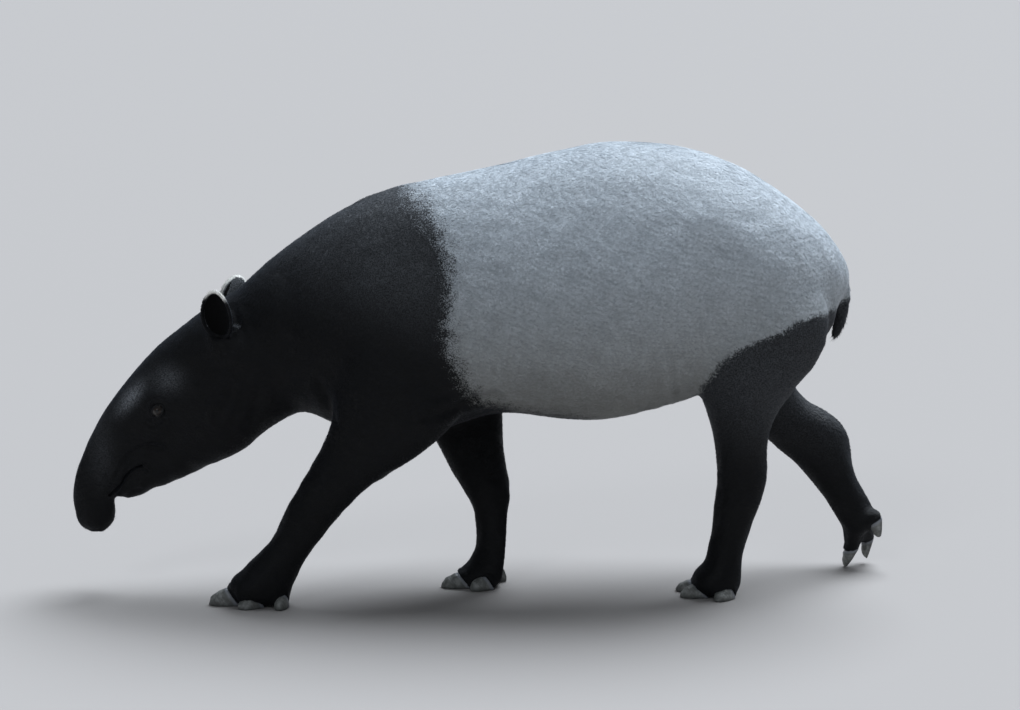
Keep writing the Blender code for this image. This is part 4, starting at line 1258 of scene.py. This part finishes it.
def hairSizeAt(flat, places, ears):
    # 1 on the trunk, least on face, ears and feet
    least = coatLook["leastSize"]
    face = least + (1 - least) * smoothStep(-0.90, -0.50, flat[:, 0])
    leg = least + (1 - least) * smoothStep(0.04, 0.42, places[:, 2])
    size = np.minimum(face, np.where(flat[:, 0] < -0.66, 1.0, leg))
    return np.where(ears > 0, coatLook["earSize"], size)


def longHairAt(flat, places, random):
    # how much longer a tuft grows at the tail's tip, over the hooves and as whiskers, and which are whiskers
    x, _, z = measured(places).T
    long = 1 + coatLook["tailTip"] * (x > 0.86) * smoothStep(0.72, 0.64, z) * smoothStep(0.57, 0.59, z)
    long *= 1 + coatLook["fringe"] * (z < 0.085) * (x > -0.66)
    draw = random.uniform(0, 1, len(flat))
    whisker = (flat[:, 0] < -0.80) & (flat[:, 2] < 0.35) & (draw < coatLook["whiskers"])
    return np.where(whisker, random.uniform(*coatLook["whiskerLength"], len(flat)), long), whisker


def scatterRoots(mesh, places, random):
    # the corners of each root's triangle, and the root's shares of them
    corners = triangleCorners(mesh)
    first, second, third = places[corners[:, 0]], places[corners[:, 1]], places[corners[:, 2]]
    area = np.linalg.norm(np.cross(second - first, third - first), axis=1) / 2
    middle = (first + second + third) / 3
    flat = straightened(middle)
    weight = area / hairSizeAt(flat, middle, earReach(flat)) ** 1.5
    weight *= (bare[corners].max(axis=1) < 0.4) & (middle[:, 2] > coatLook["leastRootZ"])
    count = coatLook["count"] // 1
    total = np.cumsum(weight)
    spots = (np.arange(count) + random.uniform(0, 1, count)) / count * total[-1]
    chosen = np.minimum(np.searchsorted(total, spots), len(corners) - 1)
    a, b = random.uniform(0, 1, count), random.uniform(0, 1, count)
    over = a + b > 1
    a[over], b[over] = 1 - a[over], 1 - b[over]
    return corners[chosen], np.column_stack([1 - a - b, a, b])


def makeCoat():
    random = np.random.default_rng(20)
    mesh = skin.data
    places, normals = readPlaces(mesh), readNormals(mesh)
    corners, shares = scatterRoots(mesh, places, random)
    roots = np.einsum("ij,ijk->ik", shares, places[corners])
    upward = np.einsum("ij,ijk->ik", shares, normals[corners])
    upward /= np.linalg.norm(upward, axis=1)[:, None]
    count = len(roots)
    flat = straightened(roots)
    ears = earReach(flat)
    size = hairSizeAt(flat, roots, ears) * random.uniform(0.75, 1.2, count)
    lie = lieAt(roots, upward, flat, ears, random)
    side = np.cross(upward, lie)
    longer, whisker = longHairAt(flat, roots, random)
    tone = 0.5 + coatLook["streaks"] * waves(alongCoat(roots), 0.0075, 21)
    tone += coatLook["patches"] * waves(roots, 0.05, 22)
    tone = np.clip(tone + random.normal(0, coatLook["speckle"], count), 0, 1)
    values = {"saddle": saddleAt(roots), "frostAndSheen": frostAndSheenAt(flat), "rim": earRim(flat), "tone": tone}
    length = coatLook["length"] * size * longer
    width = coatLook["width"] * size**0.6 * np.where(whisker, coatLook["whiskerWidth"], 1.0)
    height = coatLook["lift"] * size**0.7 * np.where(whisker, coatLook["whiskerLift"], 1.0)
    spots = np.array([(0.0, -0.0014), (-0.0004, 0.0), (0.0004, 0.0), (0.0, 0.0014)])
    flatRoots = unwrapAt(roots, ears)[:, None]
    dip = upward * coatLook["rootDip"]
    points, maps = [], []
    for fan in (-1, 0, 1):
        way = turnedBy(lie, side, fan * coatLook["fan"] + random.normal(0, 0.10, count))
        long = (length * random.uniform(0.8, 1.1, count))[:, None]
        lift = upward * (height * random.uniform(0.55, 1.0, count))[:, None]
        wide = width[:, None] / 2
        across = np.cross(upward, way) * wide
        start = roots + side * (fan * 0.9) * wide - dip
        middle = start + way * long * 0.42 + lift * 0.75 + dip
        tip = start + way * long + lift + dip
        points.append(np.stack([start, middle - across, middle + across, tip], axis=1))
        maps.append(flatRoots + spots + (fan * 0.0009, 0))
    points, maps = np.stack(points, axis=1), np.stack(maps, axis=1)
    points[..., 2] = np.maximum(points[..., 2], coatLook["leastZ"])
    finish = tuftFinish()
    for piece in range(coatLook["pieces"]):
        mine = np.arange(piece, count, coatLook["pieces"])
        own = {label: value[mine] for label, value in values.items()}
        buildTufts(f"coat_{piece + 1}", points[mine], maps[mine], own, finish)


def buildTufts(name, points, maps, values, finish):
    # points and maps hold the four corners of each of a tuft's leaves
    leaves = points.reshape(-1, 4, 3)
    count = len(leaves)
    base = np.arange(count)[:, None] * 4
    corners = np.concatenate([base + (0, 2, 1), base + (1, 2, 3)], axis=1).reshape(-1, 3)
    data = bpy.data.meshes.new(name)
    data.vertices.add(count * 4)
    data.vertices.foreach_set("co", leaves.ravel())
    data.loops.add(corners.size)
    data.loops.foreach_set("vertex_index", corners.ravel())
    data.polygons.add(len(corners))
    data.polygons.foreach_set("loop_start", np.arange(0, corners.size, 3))
    data.update(calc_edges=True)
    layer = data.uv_layers.new(name="OFBake")
    layer.data.foreach_set("uv", maps.reshape(-1, 2)[corners.ravel()].ravel())
    for label, value in values.items():
        writeAttribute(data, label, np.repeat(value, 12))
    writeAttribute(data, "bare", np.zeros(count * 4))
    writeAttribute(data, "tip", np.tile([0.0, 0.5, 0.5, 1.0], count))
    data.shade_smooth()
    data.materials.append(finish)
    obj = linked(name, data)
    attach(obj, "root")


makeCoat()
print("coat made")


# Eyes: a ball that swells at the cornea, with iris and pupil under its clear coat


def eyeFinish():
    finish, tree, shader = newFinish("eyeball")
    reach = stored(tree, "irisReach")
    fibres = spread(tree, noise(tree, ownPlace(tree), 420.0), 0.35, 0.65)
    iris = blended(tree, fibres, eyeLook["iris"], eyeLook["irisFibres"])
    ring = blended(tree, spread(tree, reach, 0.80, 1.0), iris, eyeLook["irisEdge"])
    whole = blended(tree, spread(tree, reach, 1.0, 1.16), ring, eyeLook["white"])
    pupil = spread(tree, stored(tree, "pupilReach"), 0.92, 1.06)
    plug(tree, shader.inputs["Base Color"], blended(tree, pupil, eyeLook["pupil"], whole))
    shader.inputs["Roughness"].default_value = eyeLook["roughness"]
    shader.inputs["Specular IOR Level"].default_value = eyeLook["shine"]
    shader.inputs["Coat Weight"].default_value = eyeLook["wet"]
    shader.inputs["Coat Roughness"].default_value = eyeLook["wetRoughness"]
    return finish


def makeEye(name, side, finish):
    outward, along, across = eyeAxes(side)
    radius = eyeLook["radius"] - eyeLook["ballGap"]
    irisAngle = math.asin(eyeLook["irisRadius"] / radius)
    whole = bmesh.new()
    bmesh.ops.create_uvsphere(whole, u_segments=72, v_segments=90, radius=1.0)
    data = bpy.data.meshes.new(f"{name}_ball")
    whole.to_mesh(data)
    whole.free()
    ways = readPlaces(data)
    a, b, ahead = ways.T
    angle = np.arccos(np.clip(ahead, -1, 1))
    pupil = np.hypot(a * radius / eyeLook["pupilLength"], b * radius / eyeLook["pupilHeight"])
    level = radius + eyeLook["corneaRise"] * (1 - smoothStep(0.0, irisAngle * 1.25, angle))
    writeAttribute(data, "irisReach", angle / irisAngle)
    writeAttribute(data, "pupilReach", np.where(ahead > 0, np.clip(pupil, 0, 9), 9))
    writePlaces(data, eyeMiddle(name) + ways @ np.array([along, across, outward]) * level[:, None])
    data.shade_smooth()
    data.materials.append(finish)
    obj = linked(f"{name}_ball", data)
    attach(obj, "root")
    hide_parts(name)


ballFinish = eyeFinish()
for eyeName, eyeSide in eyeSides.items():
    makeEye(eyeName, eyeSide, ballFinish)
print("eyes made")


# Hooves: rounded horn shoes with growth rings, darker towards the sole


def hoofFinish():
    finish, tree, shader = newFinish("horn")
    reach = stored(tree, "reach")
    line = tree.nodes.new("ShaderNodeCombineXYZ")
    tree.links.new(reach, line.inputs["X"])
    rings = noise(tree, line.outputs["Vector"], 210.0, 3.0, 0.6)
    cloud = noise(tree, ownPlace(tree), 55.0, 4.0, 0.6)
    scratch = noise(tree, ownPlace(tree, (1.0, 1.0, 0.3)), 380.0)
    base = blended(tree, spread(tree, rings, 0.30, 0.75, 0.15, 0.85), hoofLook["hornDark"], hoofLook["horn"])
    base = blended(tree, spread(tree, cloud, 0.42, 0.70, 0.0, 0.7), base, hoofLook["hornPale"])
    # darker towards the sole
    low = summed(tree, stored(tree, "rise"), jitter(tree, scratch, 0.25))
    base = blended(tree, spread(tree, low, 0.02, 0.30, 0.75, 0.0), base, hoofLook["hornDark"])
    root = summed(tree, reach, jitter(tree, cloud, 0.008))
    # painted highlight along the coronet
    base = blended(tree, spread(tree, root, 0.0015, 0.0140, 0.5, 0.0), base, hoofLook["coronetHighlight"])
    base = blended(tree, spread(tree, root, -0.0020, 0.0012, 0.9, 0.0), base, coatLook["blackLight"])
    plug(tree, shader.inputs["Base Color"], base)
    plug(tree, shader.inputs["Roughness"], spread(tree, cloud, 0.3, 0.7, *hoofLook["roughness"]))
    height = summed(tree, scaled(tree, rings, 0.9), scaled(tree, scratch, 0.3))
    bumped(tree, shader, height, hoofLook["grooves"], 0.6)
    return finish


def makeHoof(name, finish):
    hoof = HoofPlace(name)
    obj = linked(f"{name}_horn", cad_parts[name].data.copy())
    obj.data.materials.clear()
    remesh = obj.modifiers.new("even", "REMESH")
    remesh.mode = "VOXEL"
    remesh.voxel_size = hoofLook["grain"]
    modifiersApplied(obj)
    mesh = obj.data
    places = softened(readPlaces(mesh), edgePairs(mesh), np.ones(len(mesh.vertices)), hoofLook["softTurns"])
    writePlaces(mesh, places)
    normals = readNormals(mesh)
    along, rise, _ = hoof.shares(places)
    reach = hoof.hornReach(places)
    ring = np.sin(2 * math.pi * reach / hoofLook["ringLength"] + waves(places, 0.03, 8))
    wall = np.clip(normals @ hoof.upward + 0.7, 0, 1) * smoothStep(0.0, 0.004, reach)
    push = hoofLook["ringDepth"] * ring * wall - hoofLook["tuck"] * (1 - smoothStep(-0.0040, 0.0, reach))
    push -= hoofLook["heelTuck"] * (1 - smoothStep(0.0, 0.30, along)) * (1 - smoothStep(-0.0060, 0.0, reach))
    places = pushed(places, normals, push + hoofLook["dents"] * waves(places, 0.022, 9) * wall)
    places[:, 2] = np.maximum(places[:, 2], 0.0)
    writePlaces(mesh, places)
    writeAttribute(mesh, "rise", rise)
    writeAttribute(mesh, "reach", reach)
    mesh.shade_smooth()
    mesh.materials.append(finish)
    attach(obj, "root")
    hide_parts(name)


hornFinish = hoofFinish()
for hoofName in hoofNodes:
    makeHoof(hoofName, hornFinish)
print("hooves made")


# Camera, floor and light

stageLook = {
    "azimuth": -4.0,
    "elevation": 9.5,
    "distance": 6.5,
    "lens": 94.76,
    "target": (0.06403, 0.0001, 0.581),
    "floor": (0.335, 0.316, 0.308),
    "floorRadius": 90,
    "floorGap": 0.0005,  # how far it lies under the soles
    "floorRoughness": 0.9,
    "sky": (0.86, 0.93, 1.0),
    "skyStrength": 0.18,
    "overheadStrength": 5.7,
    "overheadDegrees": 50,  # how wide the overhead light is, which softens the shadow
    "overheadFrom": (0.30, 0.36, 1.0),
    "frontStrength": 0.30,
    "frontDegrees": 14,
    "frontFrom": (-0.55, -1.0, 0.85),
}


def addLight(name):
    # a soft far light, which name picks from the values above
    data = bpy.data.lights.new(f"{name}Light", "SUN")
    data.energy = stageLook[f"{name}Strength"]
    data.angle = math.radians(stageLook[f"{name}Degrees"])
    data.color = stageLook["sky"]
    lamp = linked(f"{name}Light", data)
    lamp.location = Vector(stageLook[f"{name}From"]) * 4
    lamp.rotation_euler = (-Vector(stageLook[f"{name}From"])).to_track_quat("-Z", "Y").to_euler()


def makeCamera():
    data = bpy.data.cameras.new("camera")
    data.lens = stageLook["lens"]
    data.sensor_width = 36.0
    data.clip_end = 200
    camera = linked("camera", data)
    a, e = math.radians(stageLook["azimuth"]), math.radians(stageLook["elevation"])
    back = Vector((math.sin(a) * math.cos(e), -math.cos(a) * math.cos(e), math.sin(e)))
    camera.location = Vector(stageLook["target"]) + Vector((settledX, 0, 0)) + back * stageLook["distance"]
    camera.rotation_euler = (-back).to_track_quat("-Z", "Y").to_euler()
    bpy.context.scene.camera = camera


def makeFloor():
    whole = bmesh.new()
    bmesh.ops.create_circle(whole, cap_ends=True, radius=stageLook["floorRadius"], segments=96)
    data = bpy.data.meshes.new("floor")
    whole.to_mesh(data)
    whole.free()
    floor = linked("floor", data)
    floor.location.z = -stageLook["floorGap"]
    finish, _, shader = newFinish("floor")
    shader.inputs["Base Color"].default_value = (*stageLook["floor"], 1)
    shader.inputs["Roughness"].default_value = stageLook["floorRoughness"]
    floor.data.materials.append(finish)


def makeSky():
    world = bpy.data.worlds.new("studio")
    world.use_nodes = True
    sky = world.node_tree.nodes["Background"]
    sky.inputs["Color"].default_value = (*stageLook["sky"], 1)
    sky.inputs["Strength"].default_value = stageLook["skyStrength"]
    bpy.context.scene.world = world


makeCamera()
makeFloor()
makeSky()
addLight("overhead")
addLight("front")
bpy.context.scene.view_settings.view_transform = "Standard"
print("stage made")
